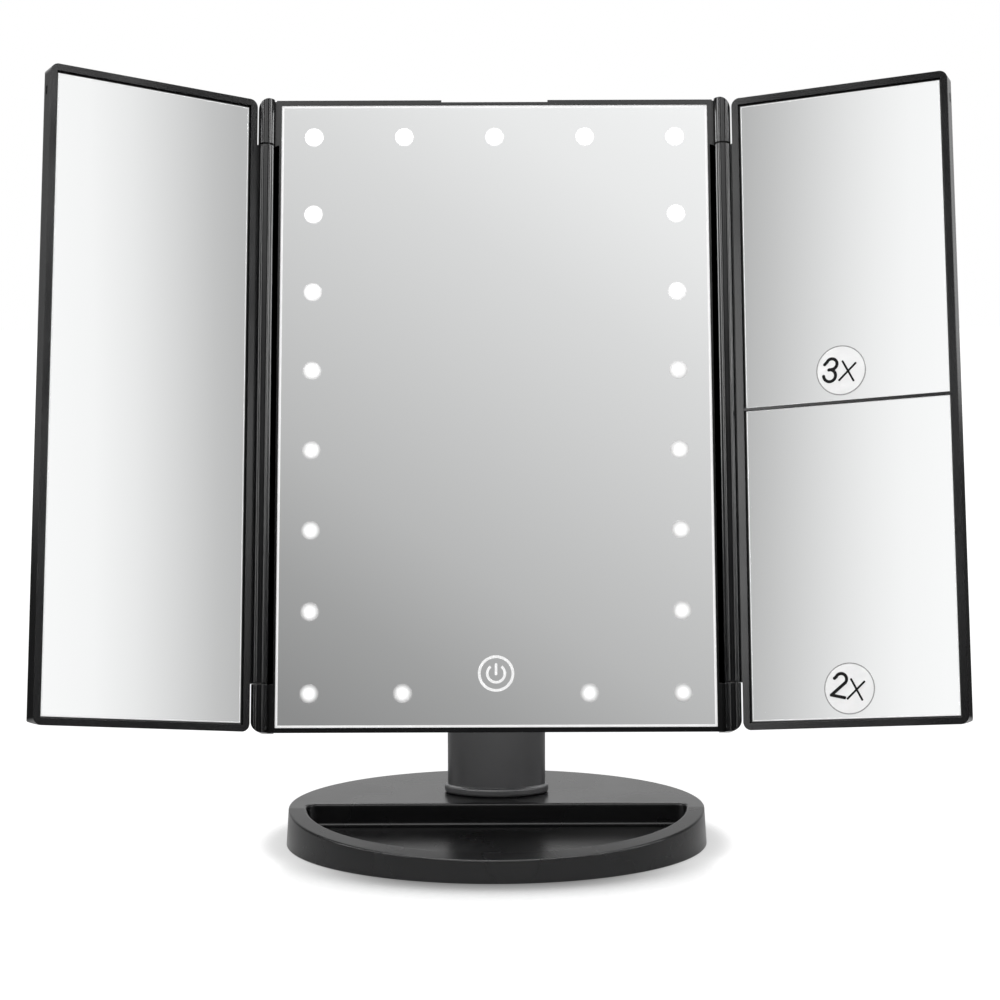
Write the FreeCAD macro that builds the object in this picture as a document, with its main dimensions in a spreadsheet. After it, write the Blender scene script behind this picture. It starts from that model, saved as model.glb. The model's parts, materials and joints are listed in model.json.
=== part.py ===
import FreeCAD, Part
import Sketcher
import math
import os

# Trifold vanity mirror: an oval base with a tray, a stem, a tilting main panel with 21 lights,
# and two mirror wings that fold over it.  Millimetres, +Z up, the viewer stands at -Y.
# The origin is the middle of the base, on the table.

doc = FreeCAD.newDocument("trifold_mirror")
Vector, Rotation, Placement = FreeCAD.Vector, FreeCAD.Rotation, FreeCAD.Placement
X_AXIS, Y_AXIS, Z_AXIS = Vector(1, 0, 0), Vector(0, 1, 0), Vector(0, 0, 1)
TINY = 1e-3
PAST = 1.0      # how far a cutting shape runs on past the face that it cuts

# ---------------------------------------------------------------- driving dimensions
SIZES = [
    # the pose at rest
    ("head_tilt", 15.0),            # degrees back from upright
    ("left_swing", 31.5),           # degrees forward from flat open
    ("right_swing", 23.0),
    # base
    ("base_width", 150.6),
    ("base_depth", 120.0),
    ("base_rear_top", 13.4),        # top face over the table
    ("base_front_top", 8.4),        # front lip over the table
    ("crease_front", 4.0),          # in front of the middle: there the top starts to slope down
    ("crease_round", 12.0),
    ("base_lean", 0.9),             # the wall leans in by this much at the top
    ("base_wall", 2.0),
    ("base_edge_round", 0.6),
    ("pad_proud", 0.5),             # foam pad under the plastic
    ("tray_side_rim", 7.3),         # from the base's outline to the tray
    ("tray_front_rim", 9.4),
    ("tray_back_y", 2.5),
    ("tray_floor_top", 5.1),
    ("tray_floor_thick", 1.2),
    ("tray_wall", 1.8),
    ("tray_corner", 3.5),
    ("tray_cove", 1.5),
    ("tray_lip_round", 1.0),
    ("plate_thick", 2.0),
    ("plate_gap", 0.5),
    ("ballast_width", 84.0),
    ("ballast_front_y", 7.0),
    ("ballast_rear_inset", 18.0),
    ("ballast_thick", 2.0),
    ("ballast_gap", 1.0),           # round the stem's socket
    ("grip_pad_inset_x", 19.3),     # from the base's outline
    ("grip_pad_inset_y", 18.0),
    ("grip_pad_thick", 1.4),
    ("side_screw_inset", 14.3),
    ("side_screw_y", 11.0),
    ("rear_screw_x", 24.0),
    ("rear_screw_inset", 10.5),
    ("boss_radius", 2.8),
    # screws, all one size
    ("screw_radius", 1.25),
    ("screw_head_radius", 2.3),
    ("screw_head_thick", 1.2),
    ("screw_length", 6.0),
    ("screw_bite_gap", 0.02),
    ("screw_hole_gap", 0.2),
    ("screw_end_gap", 0.3),         # hole past the screw's tip
    # stem
    ("stem_width", 35.7),
    ("stem_depth", 20.0),
    ("stem_end_radius", 6.0),       # of the oval's two ends
    ("stem_flat_cut", 0.2),         # taken off each end, a flat for the washer
    ("stem_y", 22.0),
    ("stem_wall", 2.2),
    ("stem_side_wall", 4.4),
    ("stem_roof", 3.3),             # under the axle's bore
    ("foot_spread", 1.2),
    ("foot_height", 3.2),
    ("foot_round", 1.1),
    ("tenon_side_step", 4.35),      # the tenon is this much narrower than the stem on each side
    ("tenon_face_step", 3.5),
    ("tenon_drop", 5.6),
    ("socket_gap", 0.15),
    ("socket_wall", 1.6),
    ("stem_screw_inset", 5.5),      # from the tenon's end
    # tilt hinge
    ("pivot_over_table", 83.6),
    ("pivot_behind_glass", 18.0),
    ("pivot_over_edge", 48.55),     # over the panel's lower edge
    ("axle_radius", 2.5),
    ("axle_run_gap", 0.05),
    ("axle_fit_gap", 0.02),
    ("washer_radius", 7.0),
    ("washer_thick", 1.2),
    ("washer_play", 0.1),
    ("ear_wall", 2.4),
    ("ear_radius", 4.0),
    ("axle_cap_radius", 2.9),
    ("axle_cap_thick", 1.0),
    ("axle_cap_gap", 0.2),
    ("stem_clear", 0.5),            # round the stem's end and in front of it when upright
    # main pane
    ("glass_width", 157.0),
    ("glass_height", 229.4),
    ("glass_thick", 3.0),
    ("glass_gap", 0.05),
    ("border", 0.85),               # width of the bright border
    ("diffuser_thick", 1.2),
    ("tape_thick", 0.4),
    ("tape_width", 3.0),
    ("window_radius", 3.45),
    ("window_side", 12.0),          # from the pane's side edge
    ("window_end", 12.1),
    ("window_rows", 8),
    ("icon_over_edge", 19.1),       # over the pane's lower edge
    ("icon_radius", 6.5),
    ("icon_stroke", 1.0),
    ("icon_arc_radius", 3.6),
    ("icon_arc_stroke", 0.95),
    ("icon_arc_gap", 38.0),         # degrees open each side of the top
    ("icon_bar_low", 0.2),          # below the icon's middle
    ("icon_bar_high", 3.2),
    ("icon_depth", 0.5),
    ("end_swell", 1.04),            # the round end of a stroke is this much wider than the stroke
    # main frame
    ("rim_side", 1.8),
    ("rim_end", 1.8),
    ("rim_proud", 0.6),
    ("ledge_width", 4.5),
    ("ledge_thick", 1.4),
    ("ledge_lip", 1.5),             # step behind the ledge along the top and bottom
    ("frame_back", 7.4),            # where the rear shell starts
    ("end_draft", 12.0),            # degrees that the top and bottom edges lean in
    ("finger_notch_width", 39.2),
    ("finger_notch_depth", 0.75),
    # side hinges
    ("hinge_out", 3.65),            # from the panel's side to the pin line
    ("hinge_front", 1.0),           # pin line in front of the glass
    ("barrel_radius", 3.0),
    ("knuckle_length", 17.25),
    ("knuckle_gap", 0.2),
    ("knuckle_end_round", 0.3),     # where a knuckle and a barrel meet
    ("knuckle_round", 4.5),
    ("arm_front", 0.6),
    ("arm_back", 5.0),
    ("strip_gap", 0.6),
    ("barrel_relief", 1.05),        # the frame's side is cut back this far beside the barrel
    ("pin_radius", 1.0),
    ("pin_run_gap", 0.05),
    ("pin_in_barrel", 15.0),
    ("pin_in_knuckle", 12.0),
    # wings
    ("wing_near", 3.5),             # from the pin line to the wing's inner edge
    ("wing_meet_gap", 0.6),         # between the two wings when both are closed
    ("wing_end_step", 0.35),        # the wing is this much shorter than the panel at each end
    ("wing_set_back", 0.4),         # wing face behind the pin line when flat open
    ("wing_thick", 7.5),
    ("wing_rim", 2.5),
    ("wing_recess", 1.1),
    ("wing_glass_thick", 2.0),
    ("wing_glass_gap", 0.1),
    ("wing_corner", 3.0),
    ("wing_skin", 1.5),
    ("wing_back_round", 1.6),
    ("wing_pocket_rim", 6.0),
    ("wing_rib", 2.0),
    ("pad_thick", 0.4),
    ("pad_width", 4.4),
    ("pad_inset", 0.5),             # from the pane's side edges
    ("pad_end_inset", 2.0),
    ("web_back", 3.0),
    ("slit_from_end", 7.6),
    ("slit_height", 3.2),
    ("slit_width", 1.4),
    ("slit_depth", 0.7),
    ("divider_drop", 0.8),          # below the middle
    ("divider_width", 1.0),
    ("divider_sink", 0.3),          # behind the rim's face
    ("divider_bite", 1.0),          # runs this far into the frame
    # stickers on the magnifying mirrors
    ("sticker_radius", 9.05),
    ("sticker_thick", 0.15),
    ("mark_thick", 0.1),
    ("numeral_stroke", 1.1),
    ("cross_stroke", 0.72),
    ("sticker_from_edge", 38.5),    # its middle from the wing's inner edge
    ("sticker_up", 11.0),           # centre above the lower edge of its mirror
    # rear shell
    ("shell_back", 14.5),
    ("shell_wall", 1.8),
    ("shell_skin", 1.8),
    ("shell_round", 2.4),
    ("hump_back", 22.0),
    ("hump_half", 50.0),
    ("hump_top", 40.0),
    ("hump_over_edge", 6.55),       # its lower end over the panel's lower edge
    ("hump_lean", 1.2),
    ("hump_round", 1.6),
    ("channel_floor_thick", 1.0),
    ("channel_relief", 0.3),        # gap between the channel's floor and the frame
    ("shell_screw_side", 4.35),
    ("shell_screw_end", 21.55),
    ("shell_screw_seat", 11.4),
    ("shell_seat_thick", 1.5),
    ("shell_boss_radius", 3.2),
    ("frame_boss_radius", 2.5),
    ("frame_boss_sink", 0.2),       # bosses start this deep in the ledge
    ("post_radius", 2.2),
    ("post_z", 58.6),
    # battery bay and its sliding cover
    ("cell_radius", 7.25),
    ("cell_length", 50.5),
    ("cell_pitch", 15.3),
    ("cell_count", 4),
    ("cell_drop", 1.0),             # middle of the cells below the panel's middle
    ("cell_nub_radius", 2.7),
    ("cell_nub_height", 1.0),
    ("bay_gap", 0.3),
    ("bay_end", 3.6),
    ("bay_wall", 1.4),
    ("bay_floor_back", 5.5),
    ("bay_floor_thick", 0.9),
    ("contact_thick", 0.4),
    ("contact_edge_gap", 1.0),
    ("spring_radius", 3.0),
    ("spring_wall", 0.6),
    ("cover_thick", 1.5),
    ("cover_tongue", 1.2),
    ("cover_tongue_thick", 1.0),
    ("cover_gap", 0.3),
    ("cover_overlap", 3.0),         # past the lower end of the bay
    ("cover_top_gap", 0.4),
    ("groove_run_out", 3.0),        # the grooves run on through the top of the hump
    ("bay_rail", 4.8),              # plastic beside the bay that holds the grooves
    # electronics
    ("board_thick", 1.2),
    ("board_width", 9.0),
    ("board_end", 28.0),            # the bottom strips stop this far from the middle
    ("chip_width", 3.5),
    ("chip_thick", 1.2),
    ("chip_gap", 0.3),
    ("sensor_half", 8.0),
    ("sensor_thick", 0.8),
    ("sensor_gap", 0.3),
    ("control_side_gap", 1.85),     # beside the ear of the tilt hinge
    ("control_end_gap", 0.5),
    ("control_length", 54.0),
    ("control_over_hump", 6.0),     # over the hump's lower end
    ("control_front", 14.9),
    ("control_thick", 1.6),
    ("control_post_radius", 1.6),
    ("control_post_inset", 3.0),
    ("usb_over_hump", 20.0),        # over the hump's lower end
    ("usb_width", 7.5),
    ("usb_height", 2.6),
    ("usb_length", 5.6),
    ("usb_wall", 0.35),
    ("usb_tongue_side", 1.6),       # from the inlet's outline to the tongue
    ("usb_tongue_low", 1.04),
    ("usb_tongue_thick", 0.65),
    ("usb_tongue_short", 1.0),
    ("usb_opening_gap", 0.5),
    ("switch_side", 14.0),          # from the side of the hump
    ("switch_over_hump", 38.0),
    ("switch_width", 5.0),
    ("switch_length", 10.0),
    ("switch_travel", 2.5),
    ("knob_width", 3.2),
    ("knob_length", 4.4),
    ("knob_base", 1.0),
    ("knob_proud", 1.2),
    ("knob_gap", 0.3),
    ("knob_skirt", 0.9),            # the foot is wider than the slot by this much
]

sheet = doc.addObject("Spreadsheet::Sheet", "sizes")
for row, (alias, number) in enumerate(SIZES, 1):
    sheet.set(f"A{row}", alias)
    sheet.set(f"B{row}", str(number))
    sheet.setAlias(f"B{row}", alias)
doc.recompute()


class Size:
    """A number together with the sheet expression that it comes from."""

    def __init__(self, value, text):
        self.value = float(value)
        self.text = text

    def __add__(self, other):
        return Size(self.value + number_of(other), f"({self.text} + {text_of(other)})")

    def __radd__(self, other):
        return Size(number_of(other) + self.value, f"({text_of(other)} + {self.text})")

    def __sub__(self, other):
        return Size(self.value - number_of(other), f"({self.text} - {text_of(other)})")

    def __rsub__(self, other):
        return Size(number_of(other) - self.value, f"({text_of(other)} - {self.text})")

    def __mul__(self, other):
        return Size(self.value * number_of(other), f"({self.text} * {text_of(other)})")

    __rmul__ = __mul__

    def __truediv__(self, other):
        return Size(self.value / number_of(other), f"({self.text} / {text_of(other)})")

    def __neg__(self):
        return Size(-self.value, f"(-1 * {self.text})")


def number_of(item):
    return item.value if isinstance(item, Size) else float(item)


def text_of(item):
    return item.text if isinstance(item, Size) else f"({item!r})"


class Sheet:
    """Reads each alias of the sheet as a Size."""

    def __getattr__(self, alias):
        return Size(getattr(sheet, alias), f"sizes.{alias}")


s = Sheet()
ZERO = Size(0, "0")


def tangent(angle):
    return Size(math.tan(math.radians(angle.value)), f"tan({angle.text} * 1 deg)")


# ---------------------------------------------------------------- small modelling helpers
def bind(item, **expressions):
    for name, expression in expressions.items():
        item.setExpression(name.replace("__", "."), text_of(expression))


def new(kind, name):
    return doc.addObject(kind, name)


def block(name, x, y, z):
    """A box from the low to the high value along each axis."""
    item = new("Part::Box", name)
    bind(item, Length=x[1] - x[0], Width=y[1] - y[0], Height=z[1] - z[0],
         Placement__Base__x=x[0], Placement__Base__y=y[0], Placement__Base__z=z[0])
    return item


def centred(half):
    return (-half, half)


def about(middle, half):
    return (middle - half, middle + half)


def wedge(name, y, front, back):
    """A block along Y whose (half width, half height) changes from front to back."""
    item = new("Part::Wedge", name)
    bind(item, Xmin=-front[0], Xmax=front[0], Zmin=-front[1], Zmax=front[1],
         X2min=-back[0], X2max=back[0], Z2min=-back[1], Z2max=back[1], Ymin=y[0], Ymax=y[1])
    return item


def rod(name, axis, radius, span, centre):
    """A cylinder along an axis, from span[0] to span[1], round the two other coordinates."""
    item = new("Part::Cylinder", name)
    turn = {"x": Rotation(Y_AXIS, 90), "y": Rotation(X_AXIS, -90), "z": Rotation()}
    item.Placement = Placement(Vector(), turn[axis])
    place = list(centre)
    place.insert("xyz".index(axis), span[0])
    bind(item, Radius=radius, Height=span[1] - span[0],
         Placement__Base__x=place[0], Placement__Base__y=place[1], Placement__Base__z=place[2])
    return item


def fuse(name, *items):
    item = new("Part::MultiFuse", name)
    item.Shapes = list(items)
    return item


def group(name, items):
    """Separate solids in one node."""
    item = new("Part::Compound", name)
    item.Links = list(items)
    return item


def common(name, first, second):
    item = new("Part::Common", name)
    item.Base, item.Tool = first, second
    return item


def cut(name, base, *tools):
    item = new("Part::Cut", name)
    item.Base = base
    item.Tool = tools[0] if len(tools) == 1 else group(name + "_tools", tools)
    return item


def rounded(name, base, radius, pick):
    """Fillets the edges of base that pick accepts."""
    doc.recompute()
    edges = [n for n, edge in enumerate(base.Shape.Edges, 1) if pick(edge)]
    if not edges:
        raise ValueError(name + ": no edge to round")
    item = new("Part::Fillet", name)
    item.Base = base
    item.Edges = [(n, number_of(radius), number_of(radius)) for n in edges]
    return item


def runs_along(edge, axis):
    """True for a straight edge along the axis."""
    first, last = edge.Vertexes[0].Point, edge.Vertexes[-1].Point
    straight = abs(edge.Length - (last - first).Length) < TINY
    return straight and (last - first).cross(axis).Length < TINY


def all_at(edge, axis, level):
    """True if the edge lies in the plane where that coordinate is level."""
    box = edge.BoundBox
    low, high = {"y": (box.YMin, box.YMax), "z": (box.ZMin, box.ZMax)}[axis]
    return abs(low - number_of(level)) < TINY and abs(high - number_of(level)) < TINY


def attached_sketch(body, name, role):
    """A sketch on one of the body's own origin planes."""
    sketch = body.newObject("Sketcher::SketchObject", name)
    plane = [feature for feature in body.Origin.OriginFeatures if feature.Role == role][0]
    sketch.AttachmentSupport = (plane, [""])
    sketch.MapMode = "FlatFace"
    return sketch


def name_sizes(sketch, named):
    """Adds each constraint under its name and ties it to the sheet."""
    for name, constraint, size in named:
        index = sketch.addConstraint(constraint)
        sketch.renameConstraint(index, name)
        sketch.setExpression(f"Constraints.{name}", text_of(size))


def padded(body, sketch, length, midplane=False):
    """Pads the body's sketch and returns the body."""
    pad = body.newObject("PartDesign::Pad", body.Name + "_pad")
    pad.Profile = sketch
    pad.Midplane = midplane
    pad.setExpression("Length", text_of(length))
    body.Tip = pad
    return body


NODES = []


def node(name, item, place=Placement()):
    """Names a finished piece and puts it where it belongs."""
    if any("Placement" in path for path, _ in item.ExpressionEngine):
        item = group(name + "_set", [item])
    item.Label = name
    item.Placement = place
    NODES.append(item)
    return item


def solid_node(name, shape, place=Placement()):
    """A finished piece whose shape is made with Part's own functions."""
    item = new("Part::Feature", name + "_shape")
    item.Shape = shape
    return node(name, item, place)


# ---------------------------------------------------------------- places of head and wings
frame_half_x = s.glass_width / 2 + s.glass_gap + s.rim_side
frame_half_z = s.glass_height / 2 + s.glass_gap + s.rim_end
hinge_x = frame_half_x + s.hinge_out
barrel_half = frame_half_z - s.knuckle_length - s.knuckle_gap
pivot_below_middle = frame_half_z - s.pivot_over_edge
pivot_z = -pivot_below_middle
HEAD = (Placement(Vector(0, s.stem_y.value, s.pivot_over_table.value),
                  Rotation(X_AXIS, -s.head_tilt.value))
        * Placement(Vector(0, -s.pivot_behind_glass.value, pivot_below_middle.value), Rotation()))


def wing_place(side, swing):
    hinge = Vector(side * hinge_x.value, -s.hinge_front.value, 0)
    return HEAD * Placement(hinge, Rotation(Z_AXIS, -side * swing.value))


LEFT, RIGHT = -1, 1
WING = {LEFT: wing_place(LEFT, s.left_swing), RIGHT: wing_place(RIGHT, s.right_swing)}


def sided(side, low, high):
    """The range low..high from the middle outwards, on the left or the right."""
    return (low, high) if side == RIGHT else (-high, -low)


# ---------------------------------------------------------------- screws
def screw_hole(name, axis, centre, seat, sign):
    """The hole that a screw's thread bites in, from the seat of its head."""
    end = seat + sign * (s.screw_length + s.screw_end_gap)
    span = (seat, end) if sign > 0 else (end, seat)
    return rod(name, axis, s.screw_radius + s.screw_bite_gap, span, centre)


def screw(name, axis, centre, seat, sign):
    """A pan-head screw: its head lies behind the seat, its thread runs on along sign."""
    head_end = seat - sign * s.screw_head_thick
    tip = seat + sign * s.screw_length
    head_span, shank_span = ((head_end, seat), (seat, tip)) if sign > 0 else ((seat, head_end), (tip, seat))
    head = rod(name + "_head", axis, s.screw_head_radius, head_span, centre)
    shank = rod(name + "_thread", axis, s.screw_radius, shank_span, centre)
    return fuse(name, head, shank)


# ---------------------------------------------------------------- base
base_bottom = s.pad_proud
half_width, half_depth = s.base_width / 2, s.base_depth / 2
crease_y = -s.crease_front
tray_width, tray_reach = s.base_width - s.tray_side_rim * 2, half_depth - s.tray_front_rim


def ellipse(name, half_x, half_y, z):
    item = new("Part::Ellipse", name)
    bind(item, MajorRadius=half_x, MinorRadius=half_y, Placement__Base__z=z)
    return item


def oval_loft(name, low, high):
    """A solid between two ovals, each (half width, half depth, height)."""
    item = new("Part::Loft", name)
    item.Sections = [ellipse(name + "_low", *low), ellipse(name + "_high", *high)]
    item.Solid = True
    item.Ruled = True
    return item


def top_slope():
    """The angle at which the front part of the top falls forward."""
    run = half_depth - s.base_lean + crease_y
    fall = s.base_rear_top - s.base_front_top
    return Size(math.degrees(math.atan2(fall.value, run.value)), f"atan2({fall.text}; {run.text})")


def side_profile(name):
    """The base seen from its side, as a body: flat behind, a soft crease, then sloping to the front."""
    reach, slope, radius, level = s.base_depth, top_slope(), s.crease_round, s.base_rear_top
    turn = math.radians(slope.value)
    bend_y = crease_y + radius * Size(math.tan(turn / 2), f"tan({slope.text} / 2)")
    bend = Vector(bend_y.value, level.value, 0)
    centre = bend - Vector(0, radius.value, 0)
    bend_end = centre + Vector(-math.sin(turn), math.cos(turn), 0) * radius.value
    front = Vector(-reach.value, bend_end.y - (reach.value + bend_end.x) * math.tan(turn), 0)
    rear = Vector(reach.value, level.value, 0)
    low_front, low_rear = Vector(front.x, -level.value, 0), Vector(rear.x, -level.value, 0)
    body = new("PartDesign::Body", name)
    sketch = attached_sketch(body, name + "_sketch", "YZ_Plane")
    sketch.addGeometry([
        Part.LineSegment(rear, bend),
        Part.ArcOfCircle(Part.Circle(centre, Z_AXIS, radius.value), math.pi / 2, math.pi / 2 + turn),
        Part.LineSegment(front, bend_end), Part.LineSegment(front, low_front),
        Part.LineSegment(low_front, low_rear), Part.LineSegment(low_rear, rear)], False)
    for joint in [("Tangent", 0, 2, 1, 1), ("Tangent", 1, 2, 2, 2), ("Coincident", 2, 1, 3, 1),
                  ("Coincident", 3, 2, 4, 1), ("Coincident", 4, 2, 5, 1), ("Coincident", 5, 2, 0, 1),
                  ("Horizontal", 0), ("Vertical", 3), ("Horizontal", 4), ("Vertical", 5)]:
        sketch.addConstraint(Sketcher.Constraint(*joint))
    name_sizes(sketch, [
        ("level", Sketcher.Constraint("DistanceY", -1, 1, 0, 1, level.value), level),
        ("bottom", Sketcher.Constraint("DistanceY", 4, 1, -1, 1, level.value), level),
        ("bend", Sketcher.Constraint("Radius", 1, radius.value), radius),
        ("bend_y", Sketcher.Constraint("DistanceX", 1, 3, -1, 1, -bend_y.value), -bend_y),
        ("slope", Sketcher.Constraint("Angle", 2, turn), slope),
        ("front_y", Sketcher.Constraint("DistanceX", 4, 1, -1, 1, reach.value), reach),
        ("rear_y", Sketcher.Constraint("DistanceX", -1, 1, 4, 2, reach.value), reach),
    ])
    return padded(body, sketch, s.base_width * 2, midplane=True)


def slope_cutter(name, drop):
    """A tilted block over the front of the base, at a depth below its sloping top."""
    angle = top_slope()
    item = new("Part::Box", name)
    item.Placement = Placement(Vector(), Rotation(X_AXIS, 1))
    reach = half_depth * 2
    cosine = Size(math.cos(math.radians(angle.value)), f"cos({angle.text})")
    sine = Size(math.sin(math.radians(angle.value)), f"sin({angle.text})")
    bind(item, Length=s.base_width * 2, Width=reach, Height=s.base_rear_top * 2,
         Placement__Base__x=-s.base_width, Placement__Base__y=crease_y - reach * cosine,
         Placement__Base__z=s.base_rear_top - drop - reach * sine,
         Placement__Rotation__Angle=angle)
    return item


def oval_prism(name, half_x, half_y, low, high):
    prism = new("Part::Extrusion", name + "_prism")
    prism.Base = ellipse(name, half_x, half_y, low)
    prism.DirMode = "Custom"
    prism.Dir = Z_AXIS
    prism.Solid = True
    bind(prism, LengthFwd=high - low)
    return prism


def tray_form(name, grow, low, high):
    """The D-shape of the tray, grown sideways by grow, between two heights."""
    prism = oval_prism(name + "_oval", tray_width / 2 + grow, tray_reach + grow, low, high)
    front = block(name + "_front", centred(s.base_width), (-s.base_depth, s.tray_back_y + grow), (low, high))
    return common(name + "_half", prism, front)


def pad_form(name):
    """The foam pad, from the table up into its recess in the bottom plate."""
    half_x, half_y = half_width - s.grip_pad_inset_x, half_depth - s.grip_pad_inset_y
    return oval_prism(name, half_x, half_y, ZERO, s.grip_pad_thick)


tenon_width, tenon_depth = s.stem_width - s.tenon_side_step * 2, s.stem_depth - s.tenon_face_step * 2


def stem_screw_places():
    return [(side * (tenon_width / 2 - s.stem_screw_inset), s.stem_y) for side in (LEFT, RIGHT)]


def on_tray_lip(edge):
    """True for an edge where the tray meets the top of the base."""
    box = edge.BoundBox
    inside = (max(-box.XMin, box.XMax) < tray_width.value / 2 + TINY and -box.YMin < tray_reach.value + TINY
              and box.YMax < s.tray_back_y.value + TINY)
    over_cove = box.ZMin > s.tray_floor_top.value + s.tray_cove.value + TINY
    level_back = not runs_along(edge, X_AXIS) or all_at(edge, "y", s.tray_back_y)
    return inside and over_cove and level_back


def make_base():
    top = s.base_rear_top
    outer = oval_loft("base_outer", (half_width, half_depth, base_bottom),
                      (half_width - s.base_lean, half_depth - s.base_lean, top))
    body = common("base_sloped", outer, side_profile("base_side"))
    body = rounded("base_rounded", body, s.base_edge_round,
                   lambda e: e.BoundBox.ZMin > s.base_front_top.value - TINY and not runs_along(e, X_AXIS))
    tray_high = top * 2
    tray = tray_form("tray", ZERO, s.tray_floor_top, tray_high)
    tray = rounded("tray_corners", tray, s.tray_corner,
                   lambda e: runs_along(e, Z_AXIS) and all_at(e, "y", s.tray_back_y))
    tray = rounded("tray_coved", tray, s.tray_cove, lambda e: all_at(e, "z", s.tray_floor_top))
    inset = s.base_wall
    hollow = oval_loft("base_hollow",
                       (half_width - inset, half_depth - inset, base_bottom - PAST),
                       (half_width - inset - s.base_lean, half_depth - inset - s.base_lean, top - inset))
    hollow = cut("base_hollow_sloped", hollow, slope_cutter("base_hollow_slope", s.base_wall))
    jacket_low = s.tray_floor_top - s.tray_floor_thick
    hollow = cut("base_hollow_trayed", hollow,
                 tray_form("tray_jacket", s.tray_wall, jacket_low, tray_high))
    opened = rounded("base_lipped", cut("base_opened", body, tray), s.tray_lip_round, on_tray_lip)
    shell = cut("base_shelled", opened, hollow)

    plate_top = base_bottom + s.plate_thick
    under_skin = top - s.base_wall
    boss_top = under_skin + s.base_wall / 2
    side_x, rear_y = half_width - s.side_screw_inset, half_depth - s.rear_screw_inset
    places = [(side * side_x, s.side_screw_y) for side in (LEFT, RIGHT)]
    places += [(side * s.rear_screw_x, rear_y) for side in (LEFT, RIGHT)]
    seat = base_bottom + s.screw_head_thick
    bosses, holes, screws, plate_holes = [], [], [], []
    for n, place in enumerate(places):
        bosses.append(rod(f"base_boss_{n}", "z", s.boss_radius, (plate_top, boss_top), place))
        holes.append(screw_hole(f"base_bite_{n}", "z", place, seat, 1))
        screws.append(screw(f"base_screw_{n}", "z", place, seat, 1))
        plate_holes.append(rod(f"plate_hole_{n}", "z", s.screw_radius + s.screw_hole_gap,
                               (base_bottom - PAST, plate_top + PAST), place))
        plate_holes.append(rod(f"plate_sink_{n}", "z", s.screw_head_radius + s.screw_hole_gap,
                               (base_bottom - PAST, seat), place))

    # socket for the stem's tenon, hanging from the top skin
    gap, wall = s.socket_gap, s.socket_wall
    tenon_low = top - s.tenon_drop
    half_x, half_y = tenon_width / 2 + gap, tenon_depth / 2 + gap
    socket = block("socket_outer", centred(half_x + wall),
                   (s.stem_y - half_y - wall, s.stem_y + half_y + wall), (tenon_low - wall, boss_top))
    socket_room = block("socket_room", centred(half_x), (s.stem_y - half_y, s.stem_y + half_y),
                        (tenon_low, top + PAST))
    stem_places = stem_screw_places()
    passes = [rod(f"socket_pass_{n}", "z", s.screw_radius + s.screw_hole_gap,
                  (tenon_low - wall * 2, tenon_low + PAST), place) for n, place in enumerate(stem_places)]
    built = fuse("base_built", shell, socket, *bosses)
    node("base_shell", cut("base_finished", built, socket_room, *passes, *holes))
    node("base_screws", group("base_screw_set", screws))
    node("stem_screws", group("stem_screw_set", [
        screw(f"stem_screw_{n}", "z", place, tenon_low - wall, 1) for n, place in enumerate(stem_places)]))

    plate_oval = (half_width - s.base_wall - s.plate_gap, half_depth - s.base_wall - s.plate_gap)
    plate = oval_loft("plate_outer", (*plate_oval, base_bottom), (*plate_oval, plate_top))
    node("base_bottom_plate", cut("plate_finished", plate, pad_form("plate_recess"), *plate_holes))
    node("grip_pad", pad_form("pad_outline"))

    ballast_y = (s.ballast_front_y, half_depth - s.ballast_rear_inset)
    ballast = block("ballast_outer", centred(s.ballast_width / 2), ballast_y,
                    (plate_top, plate_top + s.ballast_thick))
    room_x, room_y = half_x + wall + s.ballast_gap, half_y + wall + s.ballast_gap
    ballast_room = block("ballast_room", centred(room_x), (s.stem_y - room_y, s.stem_y + room_y),
                         (plate_top - PAST, plate_top + s.ballast_thick + PAST))
    node("ballast_plate", cut("ballast_finished", ballast, ballast_room))


# ---------------------------------------------------------------- stem
def oval(sketch, width, depth, end_radius, middle_y):
    """A bowed face in front and behind and two round ends, closed and fully sized by the sheet."""
    bow_radius = (width * width / 4 - width * end_radius + depth * depth / 4) / (depth - end_radius * 2)
    x, y, r, bow, my = (number_of(v) for v in (width / 2, depth / 2, end_radius, bow_radius, middle_y))
    half_bow = math.degrees(math.asin((x - r) / (bow - r)))
    arcs = []
    for n, (centre, radius, middle) in enumerate([((x - r, my), r, 0), ((0, my + y - bow), bow, 90),
                                                  ((r - x, my), r, 180), ((0, my - y + bow), bow, 270)]):
        half = half_bow if n % 2 else 90 - half_bow
        circle = Part.Circle(Vector(*centre, 0), Z_AXIS, radius)
        arcs.append(sketch.addGeometry(
            Part.ArcOfCircle(circle, math.radians(middle - half), math.radians(middle + half)), False))
    for n in range(4):
        sketch.addConstraint(Sketcher.Constraint("Tangent", arcs[n], 2, arcs[(n + 1) % 4], 1))
    sketch.addConstraint(Sketcher.Constraint("Equal", arcs[0], arcs[2]))
    sketch.addConstraint(Sketcher.Constraint("Equal", arcs[1], arcs[3]))
    name_sizes(sketch, [
        ("end", Sketcher.Constraint("Radius", arcs[0], r), end_radius),
        ("right", Sketcher.Constraint("DistanceX", -1, 1, arcs[0], 3, x - r), width / 2 - end_radius),
        ("left", Sketcher.Constraint("DistanceX", arcs[2], 3, -1, 1, x - r), width / 2 - end_radius),
        ("middle", Sketcher.Constraint("DistanceY", -1, 1, arcs[0], 3, my), middle_y),
        ("bow", Sketcher.Constraint("Radius", arcs[1], bow), bow_radius),
    ])


def column(name, width, depth, end_radius, z):
    """A PartDesign body: an oval padded upwards."""
    body = new("PartDesign::Body", name)
    sketch = attached_sketch(body, name + "_outline", "XY_Plane")
    sketch.setExpression("AttachmentOffset.Base.z", text_of(z[0]))
    oval(sketch, width, depth, end_radius, s.stem_y)
    return padded(body, sketch, z[1] - z[0])


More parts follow.
